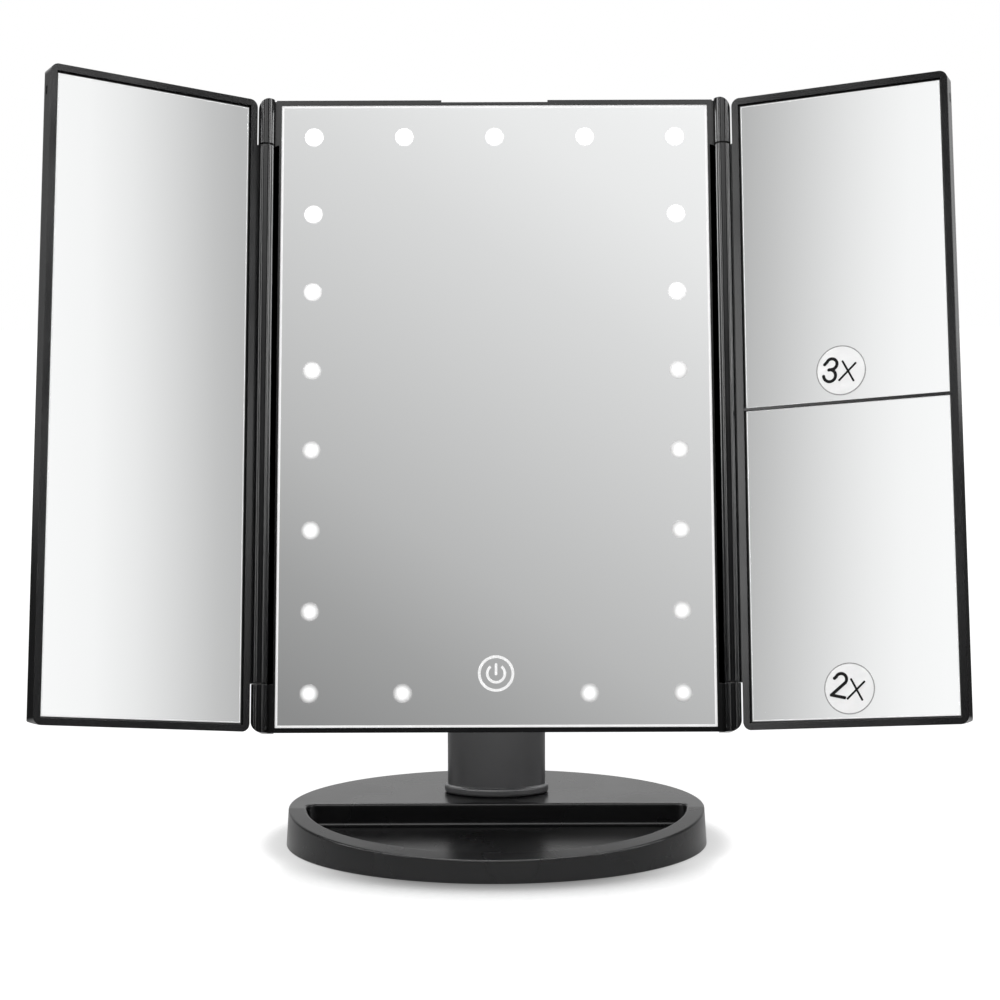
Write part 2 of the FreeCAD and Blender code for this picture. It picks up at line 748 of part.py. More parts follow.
def make_stem():
    top = s.base_rear_top
    radius = s.stem_depth / 2
    crown = s.pivot_over_table + radius
    shaft = column("stem_shaft", s.stem_width + s.stem_flat_cut * 2, s.stem_depth, s.stem_end_radius,
                   (top, crown))
    profile = fuse("stem_profile",
                   block("stem_flat", centred(s.stem_width / 2), (s.stem_y - radius, s.stem_y + radius),
                         (top - PAST, s.pivot_over_table)),
                   rod("stem_crown", "x", radius, centred(s.stem_width / 2),
                       (s.stem_y, s.pivot_over_table)))
    shaft = common("stem_crowned", shaft, profile)
    grow = s.foot_spread
    foot_top = top + s.foot_height
    foot = column("stem_foot", s.stem_width + grow * 2, s.stem_depth + grow * 2,
                  s.stem_end_radius + grow, (top, foot_top))
    foot = rounded("stem_foot_rounded", foot, s.foot_round,
                   lambda e: all_at(e, "z", foot_top) or all_at(e, "z", top))
    tenon_half = tenon_depth / 2
    tenon = block("stem_tenon", centred(tenon_width / 2), (s.stem_y - tenon_half, s.stem_y + tenon_half),
                  (top - s.tenon_drop, top + PAST))
    room_top = s.pivot_over_table - s.axle_radius - s.axle_run_gap - s.stem_roof
    room = column("stem_room", s.stem_width - s.stem_side_wall * 2, s.stem_depth - s.stem_wall * 2,
                  s.stem_end_radius - s.stem_wall, (top + s.screw_length, room_top))
    bore = rod("stem_bore", "x", s.axle_radius + s.axle_run_gap, centred(s.stem_width),
               (s.stem_y, s.pivot_over_table))
    bites = [screw_hole(f"stem_bite_{n}", "z", place,
                        top - s.tenon_drop - s.socket_wall, 1) for n, place in enumerate(stem_screw_places())]
    node("stem", cut("stem_finished", fuse("stem_built", shaft, foot, tenon), room, bore, *bites))


# ---------------------------------------------------------------- tilt hinge, in the head's own frame
def channel_half():
    return s.stem_width / 2 + s.washer_thick + s.washer_play * 2


def channel_floor():
    return s.pivot_behind_glass - s.stem_depth / 2 - s.stem_clear


def channel_front():
    return channel_floor() - s.channel_floor_thick


def make_tilt_hinge():
    centre = (s.pivot_behind_glass, pivot_z)
    inner, outer = channel_half(), channel_half() + s.ear_wall
    axle = rod("axle_pin", "x", s.axle_radius, centred(outer), centre)
    node("tilt_axle", axle, HEAD)
    washers, caps = [], []
    for side in (LEFT, RIGHT):
        washer_back = inner - s.washer_play / 2
        ring = rod(f"washer_ring_{side + 1}", "x", s.washer_radius,
                   sided(side, washer_back - s.washer_thick, washer_back), centre)
        eye = rod(f"washer_eye_{side + 1}", "x", s.axle_radius + s.axle_fit_gap,
                  sided(side, s.stem_width / 2, inner + PAST), centre)
        washers.append(cut(f"washer_{side + 1}", ring, eye))
        caps.append(rod(f"axle_cap_{side + 1}", "x", s.axle_cap_radius,
                        sided(side, outer, outer + s.axle_cap_thick), centre))
    node("friction_washers", group("friction_washer_set", washers), HEAD)
    node("axle_caps", group("axle_cap_set", caps), HEAD)


# ---------------------------------------------------------------- main panel
ledge_front = s.glass_thick + s.diffuser_thick + s.tape_thick
ledge_back = ledge_front + s.ledge_thick


def half_height_at(depth):
    """Half the panel's height at a depth behind the glass: its ends lean in."""
    return frame_half_z - (depth + s.rim_proud) * tangent(s.end_draft)


window_x, window_z = s.glass_width / 2 - s.window_side, s.glass_height / 2 - s.window_end
icon_drop = s.glass_height / 2 - s.icon_over_edge


def window_places():
    rows = int(s.window_rows.value)
    pitch = window_z * 2 / (rows - 1)
    places = [(side * window_x, window_z - n * pitch) for side in (LEFT, RIGHT) for n in range(rows)]
    places += [(n * window_x / 2, window_z) for n in (-1, 0, 1)]
    places += [(n * window_x / 2, -window_z) for n in (-1, 1)]
    return places


def windows(name, radius, y):
    return [rod(f"{name}_{n}", "y", radius, y, place) for n, place in enumerate(window_places())]


def ring_sector(centre, radius, stroke, start, sweep, y, thick):
    """A curved stroke in the XZ plane: an arc of a ring, from a start angle, anticlockwise."""
    cx, cz = centre
    place = Vector(cx, y, cz)
    outer = Part.makeCylinder(radius + stroke / 2, thick, place, Y_AXIS, sweep)
    inner = Part.makeCylinder(radius - stroke / 2, thick, place, Y_AXIS)
    arc = outer.cut(inner)
    # a part cylinder along +Y runs clockwise from +Z
    arc.rotate(place, Y_AXIS, 90 - start - sweep)
    return arc


def straight_stroke(first, last, stroke, y, thick):
    """A straight stroke in the XZ plane with round ends."""
    (ax, az), (bx, bz) = first, last
    length = math.hypot(bx - ax, bz - az)
    bar = Part.makeBox(length, thick, stroke, Vector(0, y, -stroke / 2))
    end_radius = stroke / 2 * s.end_swell.value
    ends = [Part.makeCylinder(end_radius, thick, Vector(x, y, 0), Y_AXIS) for x in (0, length)]
    shape = bar.fuse(ends).removeSplitter()
    shape.rotate(Vector(), Y_AXIS, -math.degrees(math.atan2(bz - az, bx - ax)))
    shape.translate(Vector(ax, 0, az))
    return shape


def icon_shapes():
    """Switch mark: a ring, an open arc and a bar."""
    centre = (0.0, -icon_drop.value)
    thick = s.icon_depth.value
    stroke, arc_stroke = s.icon_stroke.value, s.icon_arc_stroke.value
    ring = ring_sector(centre, s.icon_radius.value - stroke / 2, stroke, 0, 360, 0, thick)
    gap = s.icon_arc_gap.value
    start, sweep = 90 + gap, 360 - 2 * gap
    arc = ring_sector(centre, s.icon_arc_radius.value - arc_stroke / 2, arc_stroke, start, sweep, 0, thick)
    low, high = centre[1] - s.icon_bar_low.value, centre[1] + s.icon_bar_high.value
    bar = straight_stroke((0, low), (0, high), arc_stroke, 0, thick)
    return [ring, arc, bar]


def make_pane():
    inner_x, inner_z = s.glass_width / 2 - s.border, s.glass_height / 2 - s.border
    pane = block("pane_outer", centred(inner_x), (ZERO, s.glass_thick), centred(inner_z))
    holes = windows("pane_hole", s.window_radius, (ZERO, s.glass_thick))
    icon = new("Part::Feature", "icon_cutter")
    icon.Shape = Part.makeCompound(icon_shapes())
    node("main_mirror", cut("pane_finished", pane, icon, *holes), HEAD)
    panes = windows("window", s.window_radius, (ZERO, s.glass_thick))
    node("light_windows", group("window_set", panes), HEAD)
    solid_node("touch_icon", Part.makeCompound(icon_shapes()), HEAD)

    diffuser_back = s.glass_thick + s.diffuser_thick
    half_x, half_z = s.glass_width / 2, s.glass_height / 2
    slab = block("diffuser_outer", centred(half_x), (ZERO, diffuser_back), centred(half_z))
    seat = block("diffuser_seat", centred(inner_x), (ZERO - PAST, s.glass_thick), centred(inner_z))
    node("diffuser_sheet", cut("diffuser_finished", slab, seat), HEAD)

    tape_outer = block("tape_outer", centred(half_x), (diffuser_back, ledge_front), centred(half_z))
    tape_inner = block("tape_inner", centred(half_x - s.tape_width),
                       (diffuser_back - PAST, ledge_front + PAST), centred(half_z - s.tape_width))
    node("mirror_tape", cut("tape_finished", tape_outer, tape_inner), HEAD)


def knuckle_spans():
    low = barrel_half + s.knuckle_gap
    return [(low, frame_half_z), (-frame_half_z, -low)]


def shell_screw_places():
    levels = (-1, 0, 1)
    x, z = frame_half_x - s.shell_screw_side, frame_half_z - s.shell_screw_end
    return [(side * x, level * z) for side in (LEFT, RIGHT) for level in levels]


def make_front_frame():
    outer = wedge("frame_outer", (-s.rim_proud, s.frame_back),
                  (frame_half_x, frame_half_z), (frame_half_x, half_height_at(s.frame_back)))
    gap_x, gap_z = s.glass_width / 2 + s.glass_gap, s.glass_height / 2 + s.glass_gap
    before, behind = -s.rim_proud - PAST, s.frame_back + PAST
    opening = block("frame_opening", centred(gap_x), (before, ledge_front), centred(gap_z))
    ledge_x, ledge_z = gap_x - s.ledge_width, gap_z - s.ledge_width
    middle = block("frame_middle", centred(ledge_x), (before, behind), centred(ledge_z))
    rear_room = block("frame_rear_room", centred(gap_x), (ledge_back, behind), centred(ledge_z + s.ledge_lip))
    relief_half = channel_half() + s.ear_wall + s.channel_relief
    relief_low = -half_height_at(s.frame_back) + s.shell_wall / 2 - s.channel_relief
    relief = block("frame_channel_relief", centred(relief_half), (channel_front() - s.channel_relief, behind),
                   (relief_low, -ledge_z))
    notch = block("frame_notch", centred(s.finger_notch_width / 2), (before, behind),
                  (frame_half_z - s.finger_notch_depth, frame_half_z + PAST))
    strip_front = s.barrel_radius - s.hinge_front + s.strip_gap
    barrel_span = centred(barrel_half + s.knuckle_gap)
    relief_x = (frame_half_x - s.barrel_relief, frame_half_x + PAST)
    beside = [block(f"frame_beside_{side + 1}", sided(side, *relief_x), (before, strip_front), barrel_span)
              for side in (LEFT, RIGHT)]
    ring = cut("frame_ring", outer, opening, middle, rear_room, relief, notch, *beside)

    added, pin_holes = [], []
    for side in (LEFT, RIGHT):
        pin_line = (side * hinge_x, -s.hinge_front)
        for n, span in enumerate(knuckle_spans()):
            tag = f"{side + 1}_{n}"
            inner_end = span[0] if n == 0 else span[1]
            knuckle = rod(f"knuckle_rod_{tag}", "z", s.barrel_radius, span, pin_line)
            added.append(rounded(f"knuckle_{tag}", knuckle, s.knuckle_end_round,
                                 lambda e: all_at(e, "z", inner_end)))
            added.append(block(f"knuckle_arm_{tag}", sided(side, frame_half_x - s.rim_side / 2, hinge_x),
                               (s.arm_front, s.arm_back), span))
            upper = n == 0
            reach = (span[0] - PAST, span[0] + s.pin_in_knuckle)
            if not upper:
                reach = (span[1] - s.pin_in_knuckle, span[1] + PAST)
            pin_holes.append(rod(f"pin_hole_{tag}", "z", s.pin_radius + s.axle_fit_gap, reach, pin_line))
        added.append(block(f"hinge_strip_{side + 1}", sided(side, frame_half_x - s.rim_side / 2, hinge_x),
                           (strip_front, s.arm_back), barrel_span))
    hinges = fuse("frame_hinges", *added)
    outline = block("frame_outline", centred(hinge_x + s.barrel_radius), centred(s.base_depth),
                    centred(frame_half_z))
    outline = rounded("frame_outline_rounded", outline, s.knuckle_round, lambda e: runs_along(e, Y_AXIS))
    hinges = common("frame_hinges_rounded", hinges, outline)
    bosses, bites = [], []
    boss_span = (ledge_front + s.frame_boss_sink, s.shell_screw_seat - s.shell_seat_thick)
    for n, place in enumerate(shell_screw_places()):
        bosses.append(rod(f"frame_boss_{n}", "y", s.frame_boss_radius, boss_span, place))
        bites.append(screw_hole(f"frame_bite_{n}", "y", place, s.shell_screw_seat, -1))
    body = fuse("frame_built", ring, hinges, *bosses)
    node("front_frame", cut("frame_finished", body, *pin_holes, *bites), HEAD)

    pins = []
    for side in (LEFT, RIGHT):
        for level in (-1, 1):
            ends = (barrel_half - s.pin_in_barrel, barrel_half + s.knuckle_gap + s.pin_in_knuckle)
            span = ends if level == 1 else (-ends[1], -ends[0])
            pins.append(rod(f"pin_{side + 1}_{level + 1}", "z", s.pin_radius, span,
                            (side * hinge_x, -s.hinge_front)))
    node("hinge_pins", group("pin_set", pins), HEAD)


# ---------------------------------------------------------------- battery bay
cell_middle_z = -s.cell_drop


def bay_half_x():
    return s.cell_pitch * s.cell_count / 2 + s.bay_gap


def bay_span():
    half = s.cell_length / 2 + s.bay_end
    return (cell_middle_z - half, cell_middle_z + half)


def cell_y():
    return s.bay_floor_back + s.bay_gap + s.cell_radius


def make_battery():
    cells, contacts, springs = [], [], []
    low, high = bay_span()
    bottom, top = cell_middle_z - s.cell_length / 2, cell_middle_z + s.cell_length / 2
    for n in range(int(s.cell_count.value)):
        place = ((n - (s.cell_count - 1) / 2) * s.cell_pitch, cell_y())
        up = n % 2 == 0
        can_span = (bottom, top - s.cell_nub_height) if up else (bottom + s.cell_nub_height, top)
        nub_span = (top - s.cell_nub_height, top) if up else (bottom, bottom + s.cell_nub_height)
        cells.append(fuse(f"cell_{n}", rod(f"cell_can_{n}", "z", s.cell_radius, can_span, place),
                          rod(f"cell_nub_{n}", "z", s.cell_nub_radius, nub_span, place)))
        spring_span = (low + s.contact_thick, bottom) if up else (top, high - s.contact_thick)
        plain_span = (top, high - s.contact_thick) if up else (low + s.contact_thick, bottom)
        coil = rod(f"spring_coil_{n}", "z", s.spring_radius, spring_span, place)
        core = rod(f"spring_core_{n}", "z", s.spring_radius - s.spring_wall,
                   (spring_span[0] - PAST, spring_span[1] + PAST), place)
        springs.append(cut(f"spring_{n}", coil, core))
        contacts.append(rod(f"contact_dimple_{n}", "z", s.cell_nub_radius, plain_span, place))
    for n, span in enumerate([(low, low + s.contact_thick), (high - s.contact_thick, high)]):
        contacts.append(block(f"contact_plate_{n}", centred(bay_half_x() - s.contact_edge_gap),
                              (cell_y() - s.cell_radius / 2, cell_y() + s.cell_radius / 2), span))
    node("battery_cells", group("cell_set", cells), HEAD)
    node("battery_springs", group("spring_set", springs), HEAD)
    node("battery_contacts", fuse("contact_set", *contacts), HEAD)


def cover_form(name, grow, extra_top):
    """The sliding cover, or with grow its groove: a plate with a tongue along each side."""
    half = bay_half_x() + s.bay_rail / 2 - s.cover_tongue
    bottom = bay_span()[0] - s.cover_overlap - grow
    top = s.hump_top - s.hump_lean - s.cover_top_gap + extra_top
    plate_front = s.hump_back - s.cover_thick
    plate_y = (plate_front - grow, s.hump_back + grow)
    plate = block(name + "_plate", centred(half + grow), plate_y, (bottom, top))
    tongues = [block(f"{name}_tongue_{side + 1}",
                     sided(side, bay_half_x() + s.cover_gap - grow, half + s.cover_tongue + grow),
                     (plate_front - s.cover_tongue_thick - grow, plate_front + grow / 2), (bottom, top))
               for side in (LEFT, RIGHT)]
    return fuse(name + "_form", plate, *tongues)


def make_battery_cover():
    node("battery_cover", cover_form("cover", ZERO, ZERO), HEAD)


# ---------------------------------------------------------------- rear shell
hump_bottom = frame_half_z - s.hump_over_edge
control_bottom = hump_bottom - s.control_over_hump
control_top = control_bottom - s.control_length
usb_z = -hump_bottom + s.usb_over_hump
switch_x, switch_z = s.hump_half - s.switch_side, -hump_bottom + s.switch_over_hump


def usb_span_x():
    """From the mouth of the inlet inwards, on the right-hand wall of the hump."""
    mouth = s.hump_half - s.hump_lean
    return (mouth - s.usb_length, mouth)


def make_rear_shell():
    skin, wall = s.shell_skin, s.shell_wall
    front_half_z = half_height_at(s.frame_back)
    outer = wedge("shell_outer", (s.frame_back, s.shell_back),
                  (frame_half_x, front_half_z), (frame_half_x, half_height_at(s.shell_back)))
    outer = rounded("shell_rounded", outer, s.shell_round, lambda e: all_at(e, "y", s.shell_back))
    floor = s.shell_back - skin
    inner = wedge("shell_inner", (s.frame_back - PAST, floor),
                  (frame_half_x - wall, front_half_z - wall),
                  (frame_half_x - wall, half_height_at(floor) - wall))
    hump_mid = (s.hump_top - hump_bottom) / 2
    hump_half_z = (s.hump_top + hump_bottom) / 2
    lean = s.hump_lean

    def hump(name, y, inset):
        item = wedge(name, y, (s.hump_half - inset, hump_half_z - inset),
                     (s.hump_half - lean - inset, hump_half_z - lean - inset))
        bind(item, Placement__Base__z=hump_mid)
        return item

    hump_outer = hump("hump_outer", (floor, s.hump_back), ZERO)
    hump_outer = rounded("hump_rounded", hump_outer, s.hump_round, lambda e: all_at(e, "y", s.hump_back))
    hump_inner = hump("hump_inner", (floor - PAST, s.hump_back - skin), wall)
    shell = cut("shell_hollowed", fuse("shell_solid", outer, hump_outer), inner, hump_inner)

    # channel for the stem, with the two ears that hold the axle
    channel_top = pivot_z + s.stem_depth / 2 + s.stem_clear
    side_outer = channel_half() + s.ear_wall
    added = [
        block("channel_low_part", centred(side_outer), (channel_front(), floor + skin / 2),
              (-half_height_at(floor) + wall / 2, channel_top + wall)),
        block("channel_high_part", centred(side_outer), (floor, s.hump_back - skin / 2),
              (-hump_bottom + lean + wall / 2, channel_top + wall)),
    ]
    room_z = (-s.base_width, channel_top)
    room = block("channel_room", centred(channel_half()), (channel_floor(), s.base_depth), room_z)
    added.append(rod("ear_bosses", "x", s.ear_radius, centred(side_outer), (s.pivot_behind_glass, pivot_z)))
    axle_centre = (s.pivot_behind_glass, pivot_z)
    sinks = [rod("axle_hole", "x", s.axle_radius + s.axle_fit_gap, centred(side_outer + PAST), axle_centre)]
    cap_end = side_outer + s.axle_cap_thick + s.axle_cap_gap
    for side in (LEFT, RIGHT):
        sinks.append(rod(f"axle_cap_room_{side + 1}", "x", s.axle_cap_radius + s.axle_cap_gap,
                         sided(side, side_outer, cap_end), axle_centre))

    # battery bay
    bay_low, bay_high = bay_span()
    bay_x = bay_half_x()
    bay_wall = s.bay_wall
    added.append(block("bay_jacket", centred(bay_x + s.bay_rail),
                       (s.bay_floor_back - s.bay_floor_thick, s.hump_back - skin / 2),
                       (bay_low - bay_wall - s.cover_overlap, bay_high + bay_wall)))
    rail_high = (bay_high, s.hump_top - lean - wall / 2)
    added.append(block("cover_bed", centred(bay_x + s.bay_rail),
                       (s.hump_back - s.cover_thick - s.cover_tongue_thick - s.cover_gap - bay_wall,
                        s.hump_back - skin / 2), rail_high))
    bay_room = block("bay_room", centred(bay_x), (s.bay_floor_back, s.hump_back), (bay_low, bay_high))
    groove = cover_form("groove", s.cover_gap, s.groove_run_out)

    # screws, posts for the two boards, switch slot and USB opening
    for n, place in enumerate(shell_screw_places()):
        added.append(rod(f"shell_tube_{n}", "y", s.shell_boss_radius,
                         (s.shell_screw_seat - s.shell_seat_thick, floor + skin / 2), place))
        sinks.append(rod(f"shell_sink_{n}", "y", s.screw_head_radius + s.screw_hole_gap,
                         (s.shell_screw_seat, s.hump_back), place))
        sinks.append(rod(f"shell_pass_{n}", "y", s.screw_radius + s.screw_hole_gap,
                         (s.shell_screw_seat - s.shell_seat_thick * 2, s.shell_screw_seat + PAST), place))
    for n, (x, z) in enumerate([(i, j) for i in (LEFT, RIGHT) for j in (-1, 1)]):
        added.append(rod(f"board_post_{n}", "y", s.post_radius, (board_back(), floor + skin / 2),
                         (x * window_x, z * s.post_z)))
    inset = s.control_post_inset
    for n, place in enumerate([(control_near_x() + inset, -control_top - inset),
                               (control_far_x() - inset, -control_bottom + inset)]):
        added.append(rod(f"control_post_{n}", "y", s.control_post_radius,
                         (control_back(), s.hump_back - skin / 2), place))
    sinks.append(block("switch_slot", about(switch_x, s.knob_width / 2 + s.knob_gap),
                       (s.hump_back - skin - PAST, s.hump_back + PAST),
                       about(switch_middle(), (s.knob_length + s.switch_travel) / 2 + s.knob_gap)))
    usb_y = (control_back() - s.usb_opening_gap, control_back() + s.usb_height + s.usb_opening_gap)
    sinks.append(block("usb_opening", (usb_span_x()[0], s.hump_half + PAST), usb_y,
                       about(usb_z, s.usb_width / 2 + s.usb_opening_gap)))
    built = fuse("shell_built", shell, *added)
    node("rear_shell", cut("shell_finished", built, room, bay_room, groove, *sinks), HEAD)

    screws = [screw(f"shell_screw_{n}", "y", place, s.shell_screw_seat, -1)
              for n, place in enumerate(shell_screw_places())]
    node("shell_screws", group("shell_screw_set", screws), HEAD)


# ---------------------------------------------------------------- electronics
def chip_front():
    return s.glass_thick + s.diffuser_thick + s.chip_gap


def board_back():
    return chip_front() + s.chip_thick + s.board_thick


def control_back():
    return s.control_front + s.control_thick


def switch_middle():
    """Height of the middle of the switch knob's travel."""
    return switch_z - s.switch_travel / 2


def control_near_x():
    return channel_half() + s.ear_wall + s.control_side_gap


def control_far_x():
    return s.hump_half - s.shell_wall - s.hump_lean - s.control_end_gap


def make_electronics():
    front, half = chip_front() + s.chip_thick, s.board_width / 2
    y = (front, front + s.board_thick)
    outer_x, outer_z = window_x + half, window_z + half
    inner_x, inner_z = window_x - half, window_z - half
    strips = [block("board_top", centred(outer_x), y, (inner_z, outer_z))]
    low_z = (-outer_z, -inner_z)
    for side in (LEFT, RIGHT):
        strips.append(block(f"board_side_{side + 1}", sided(side, inner_x, outer_x), y, centred(outer_z)))
        strips.append(block(f"board_low_{side + 1}", sided(side, s.board_end, outer_x), y, low_z))
    node("led_board", fuse("board_strips", *strips), HEAD)
    reach = s.chip_width / 2
    chips = [block(f"chip_{n}", about(x, reach), (chip_front(), front), about(z, reach))
             for n, (x, z) in enumerate(window_places())]
    node("led_chips", group("chip_set", chips), HEAD)

    sensor_front = s.glass_thick + s.diffuser_thick + s.sensor_gap
    sensor = block("sensor_pad", centred(s.sensor_half), (sensor_front, sensor_front + s.sensor_thick),
                   about(-icon_drop, s.sensor_half))
    node("touch_sensor", sensor, HEAD)

    board = block("control_plate", (control_near_x(), control_far_x()), (s.control_front, control_back()),
                  (-control_bottom, -control_top))
    node("control_board", board, HEAD)
    x = usb_span_x()
    low = control_back()
    y, z = (low, low + s.usb_height), about(usb_z, s.usb_width / 2)
    shell = block("usb_outer", x, y, z)
    wall = s.usb_wall
    room = block("usb_room", (x[0] + wall, x[1] + PAST), (y[0] + wall, y[1] - wall),
                 (z[0] + wall, z[1] - wall))
    tongue_low = low + s.usb_tongue_low
    tongue = block("usb_tongue", (x[0], x[1] - s.usb_tongue_short),
                   (tongue_low, tongue_low + s.usb_tongue_thick),
                   (z[0] + s.usb_tongue_side, z[1] - s.usb_tongue_side))
    node("usb_inlet", fuse("usb_finished", cut("usb_shell", shell, room), tongue), HEAD)

    # slide switch: the body on the board, its knob in the slot of the shell
    skin_front = s.hump_back - s.shell_skin
    body_back = skin_front - s.knob_base - s.knob_gap
    body = block("switch_case", about(switch_x, s.switch_width / 2), (control_back(), body_back),
                 about(switch_middle(), s.switch_length / 2))
    node("switch_body", body, HEAD)
    foot = block("knob_foot", about(switch_x, s.knob_width / 2 + s.knob_skirt),
                 (body_back + s.knob_gap / 2, skin_front - s.knob_gap / 2),
                 about(switch_z, s.knob_length / 2 + s.switch_travel + s.knob_skirt))
    stem = block("knob_stem", about(switch_x, s.knob_width / 2),
                 (skin_front - s.knob_gap, s.hump_back + s.knob_proud), about(switch_z, s.knob_length / 2))
    node("power_switch_knob", fuse("knob_finished", foot, stem), HEAD)


# ---------------------------------------------------------------- wings, each in its own frame
wing_width = hinge_x - s.wing_near - s.wing_meet_gap / 2
wing_height = (frame_half_z - s.wing_end_step) * 2


def make_wing(side, name):
    """The frame of one wing: pin line at the origin, mirror face towards -Y."""
    front = s.wing_set_back
    back = front + s.wing_thick
    near, far = s.wing_near, s.wing_near + wing_width
    half = wing_height / 2
    lean = s.wing_thick * tangent(s.end_draft)
    glass_back = front + s.wing_recess + s.wing_glass_thick + s.pad_thick
    slab = wedge(name + "_slab", (front, back), (wing_width / 2, half), (wing_width / 2, half - lean))
    bind(slab, Placement__Base__x=side * (near + wing_width / 2))
    slab = rounded(name + "_back_round", slab, s.wing_back_round, lambda e: all_at(e, "y", back))
    outline = block(name + "_outline", sided(side, near, far), (front - PAST, back + PAST), centred(half))
    outline = rounded(name + "_outline_round", outline, s.wing_corner, lambda e: runs_along(e, Y_AXIS))
    body = common(name + "_body", slab, outline)
    recess = block(name + "_recess", sided(side, near + s.wing_rim, far - s.wing_rim),
                   (front - PAST, glass_back), centred(half - s.wing_rim))
    inset, rib = s.wing_rim + s.wing_pocket_rim, s.wing_rib
    pockets = []
    for n, span in enumerate([(-half + inset, -rib / 2), (rib / 2, half - inset)]):
        pockets.append(block(f"{name}_pocket_{n}", sided(side, near + inset, far - inset),
                             (glass_back - PAST, back - s.wing_skin), span))
    slit_top = half - s.slit_from_end
    slit = block(name + "_slit", sided(side, far - s.slit_depth, far + PAST),
                 about(front + s.wing_thick / 2, s.slit_width / 2), (slit_top - s.slit_height, slit_top))
    barrel = rod(name + "_barrel_rod", "z", s.barrel_radius, centred(barrel_half), (ZERO, ZERO))
    barrel = rounded(name + "_barrel", barrel, s.knuckle_end_round,
                     lambda e: all_at(e, "z", barrel_half) or all_at(e, "z", -barrel_half))
    web = block(name + "_web", sided(side, ZERO, near + PAST), (front, s.web_back), centred(barrel_half))
    bore = rod(name + "_bore", "z", s.pin_radius + s.pin_run_gap, centred(barrel_half + PAST), (ZERO, ZERO))
    joined = fuse(name + "_joined", cut(name + "_dished", body, recess, slit), barrel, web)
    return cut(name + "_cored", joined, bore, *pockets)


def wing_glass(name, side, z):
    """A pane in the wing's recess, and the two adhesive strips behind it."""
    gap = s.wing_glass_gap
    x = sided(side, s.wing_near + s.wing_rim + gap, s.wing_near + wing_width - s.wing_rim - gap)
    front = s.wing_set_back + s.wing_recess
    back = front + s.wing_glass_thick
    pane = block(name + "_pane", x, (front, back), z)
    pad_z = (z[0] + s.pad_end_inset, z[1] - s.pad_end_inset)
    low, high = x[0] + s.pad_inset, x[1] - s.pad_inset
    pads = [block(f"{name}_pad_{n}", span, (back, back + s.pad_thick), pad_z)
            for n, span in enumerate([(low, low + s.pad_width), (high - s.pad_width, high)])]
    return pane, pads


def make_wings():
    half = wing_height / 2 - s.wing_rim - s.wing_glass_gap
    node("left_wing_frame", make_wing(LEFT, "left_wing"), WING[LEFT])
    pane, pads = wing_glass("left", LEFT, centred(half))
    node("left_wing_mirror", pane, WING[LEFT])
    node("left_wing_pads", group("left_pad_set", pads), WING[LEFT])

    bar_low, bar_high = about(-s.divider_drop, s.divider_width / 2)
    front, bite = s.wing_set_back, s.divider_bite
    bar_back = front + s.wing_recess + s.wing_glass_thick + s.pad_thick + bite
    bar = block("divider", (s.wing_near + bite, s.wing_near + wing_width - bite),
                (front + s.divider_sink, bar_back), (bar_low, bar_high))
    node("right_wing_frame", fuse("right_wing_barred", make_wing(RIGHT, "right_wing"), bar), WING[RIGHT])
    gap = s.wing_glass_gap
    upper, upper_pads = wing_glass("upper", RIGHT, (bar_high + gap, half))
    lower, lower_pads = wing_glass("lower", RIGHT, (-half, bar_low - gap))
    node("upper_magnifier", upper, WING[RIGHT])
    node("lower_magnifier", lower, WING[RIGHT])
    node("right_wing_pads", group("right_pad_set", upper_pads + lower_pads), WING[RIGHT])

    glass = s.wing_set_back + s.wing_recess
    sticker_x = s.wing_near + s.sticker_from_edge
    centres = [(sticker_x, low + s.sticker_up) for low in (bar_high, -half)]
    discs = [rod(f"sticker_{n}", "y", s.sticker_radius, (glass - s.sticker_thick, glass), centre)
             for n, centre in enumerate(centres)]
    node("sticker_discs", group("sticker_set", discs), WING[RIGHT])
    face = (glass - s.sticker_thick).value
    marks = []
    for digit, (x, z) in zip((3, 2), centres):
        marks += mark_shapes(digit, x.value, z.value, face)
    solid_node("sticker_marks", Part.makeCompound(marks), WING[RIGHT])


# Strokes of the sticker marks, from the sticker's middle, in tenths of its radius:
# an arc is (x, z, radius, start, sweep) with degrees anticlockwise, a line is (x, z, x, z).
NUMERALS = {
    3: [(-3.65, 2.8, 2.1, -80, 230), (-6.5, 2.8, -5.45, 3.8), (-3.25, 0.7, -4.9, 0.5),
        (-4.65, -1.8, 2.4, -175, 270), (-7.05, -2.0, -7.05, -1.9)],
    2: [(-3.2, 3.7, 2.15, -40, 190), (-5.8, 4.1, -5.05, 4.75), (-1.55, 2.3, -7.2, -2.3),
        (-7.2, -2.3, -2.0, -3.5)],
}
CROSS = [(0.75, 3.5, 4.9, -4.5), (5.9, 2.4, -0.8, -3.9)]


def mark_shapes(digit, x, z, face):
    """A numeral and a multiplication cross, as raised strokes."""
    thick, unit = s.mark_thick.value, s.sticker_radius.value / 10

    def stroke_shape(stroke, width):
        if len(stroke) == 4:
            first, last = [(x + i * unit, z + j * unit) for i, j in (stroke[:2], stroke[2:])]
            return straight_stroke(first, last, width, face - thick, thick)
        i, j, radius, start, sweep = stroke
        centre = (x + i * unit, z + j * unit)
        return ring_sector(centre, radius * unit, width, start, sweep, face - thick, thick)

    shapes = []
    for strokes, width in ((NUMERALS[digit], s.numeral_stroke.value), (CROSS, s.cross_stroke.value)):
        first, *others = [stroke_shape(stroke, width) for stroke in strokes]
        shapes.append(first.fuse(others))
    return shapes


# ---------------------------------------------------------------- build, check, write
make_base()
make_stem()
make_tilt_hinge()
make_pane()
make_front_frame()
make_rear_shell()
make_electronics()
make_battery()
make_battery_cover()
make_wings()
doc.recompute()

for item in doc.Objects:
    if "Invalid" in item.State or "Error" in item.State:
        raise ValueError(f"{item.Name} failed: {item.State}")
for item in NODES:
    if item.Shape.isNull() or not item.Shape.isValid():
        raise ValueError(f"{item.Label} has no valid shape")

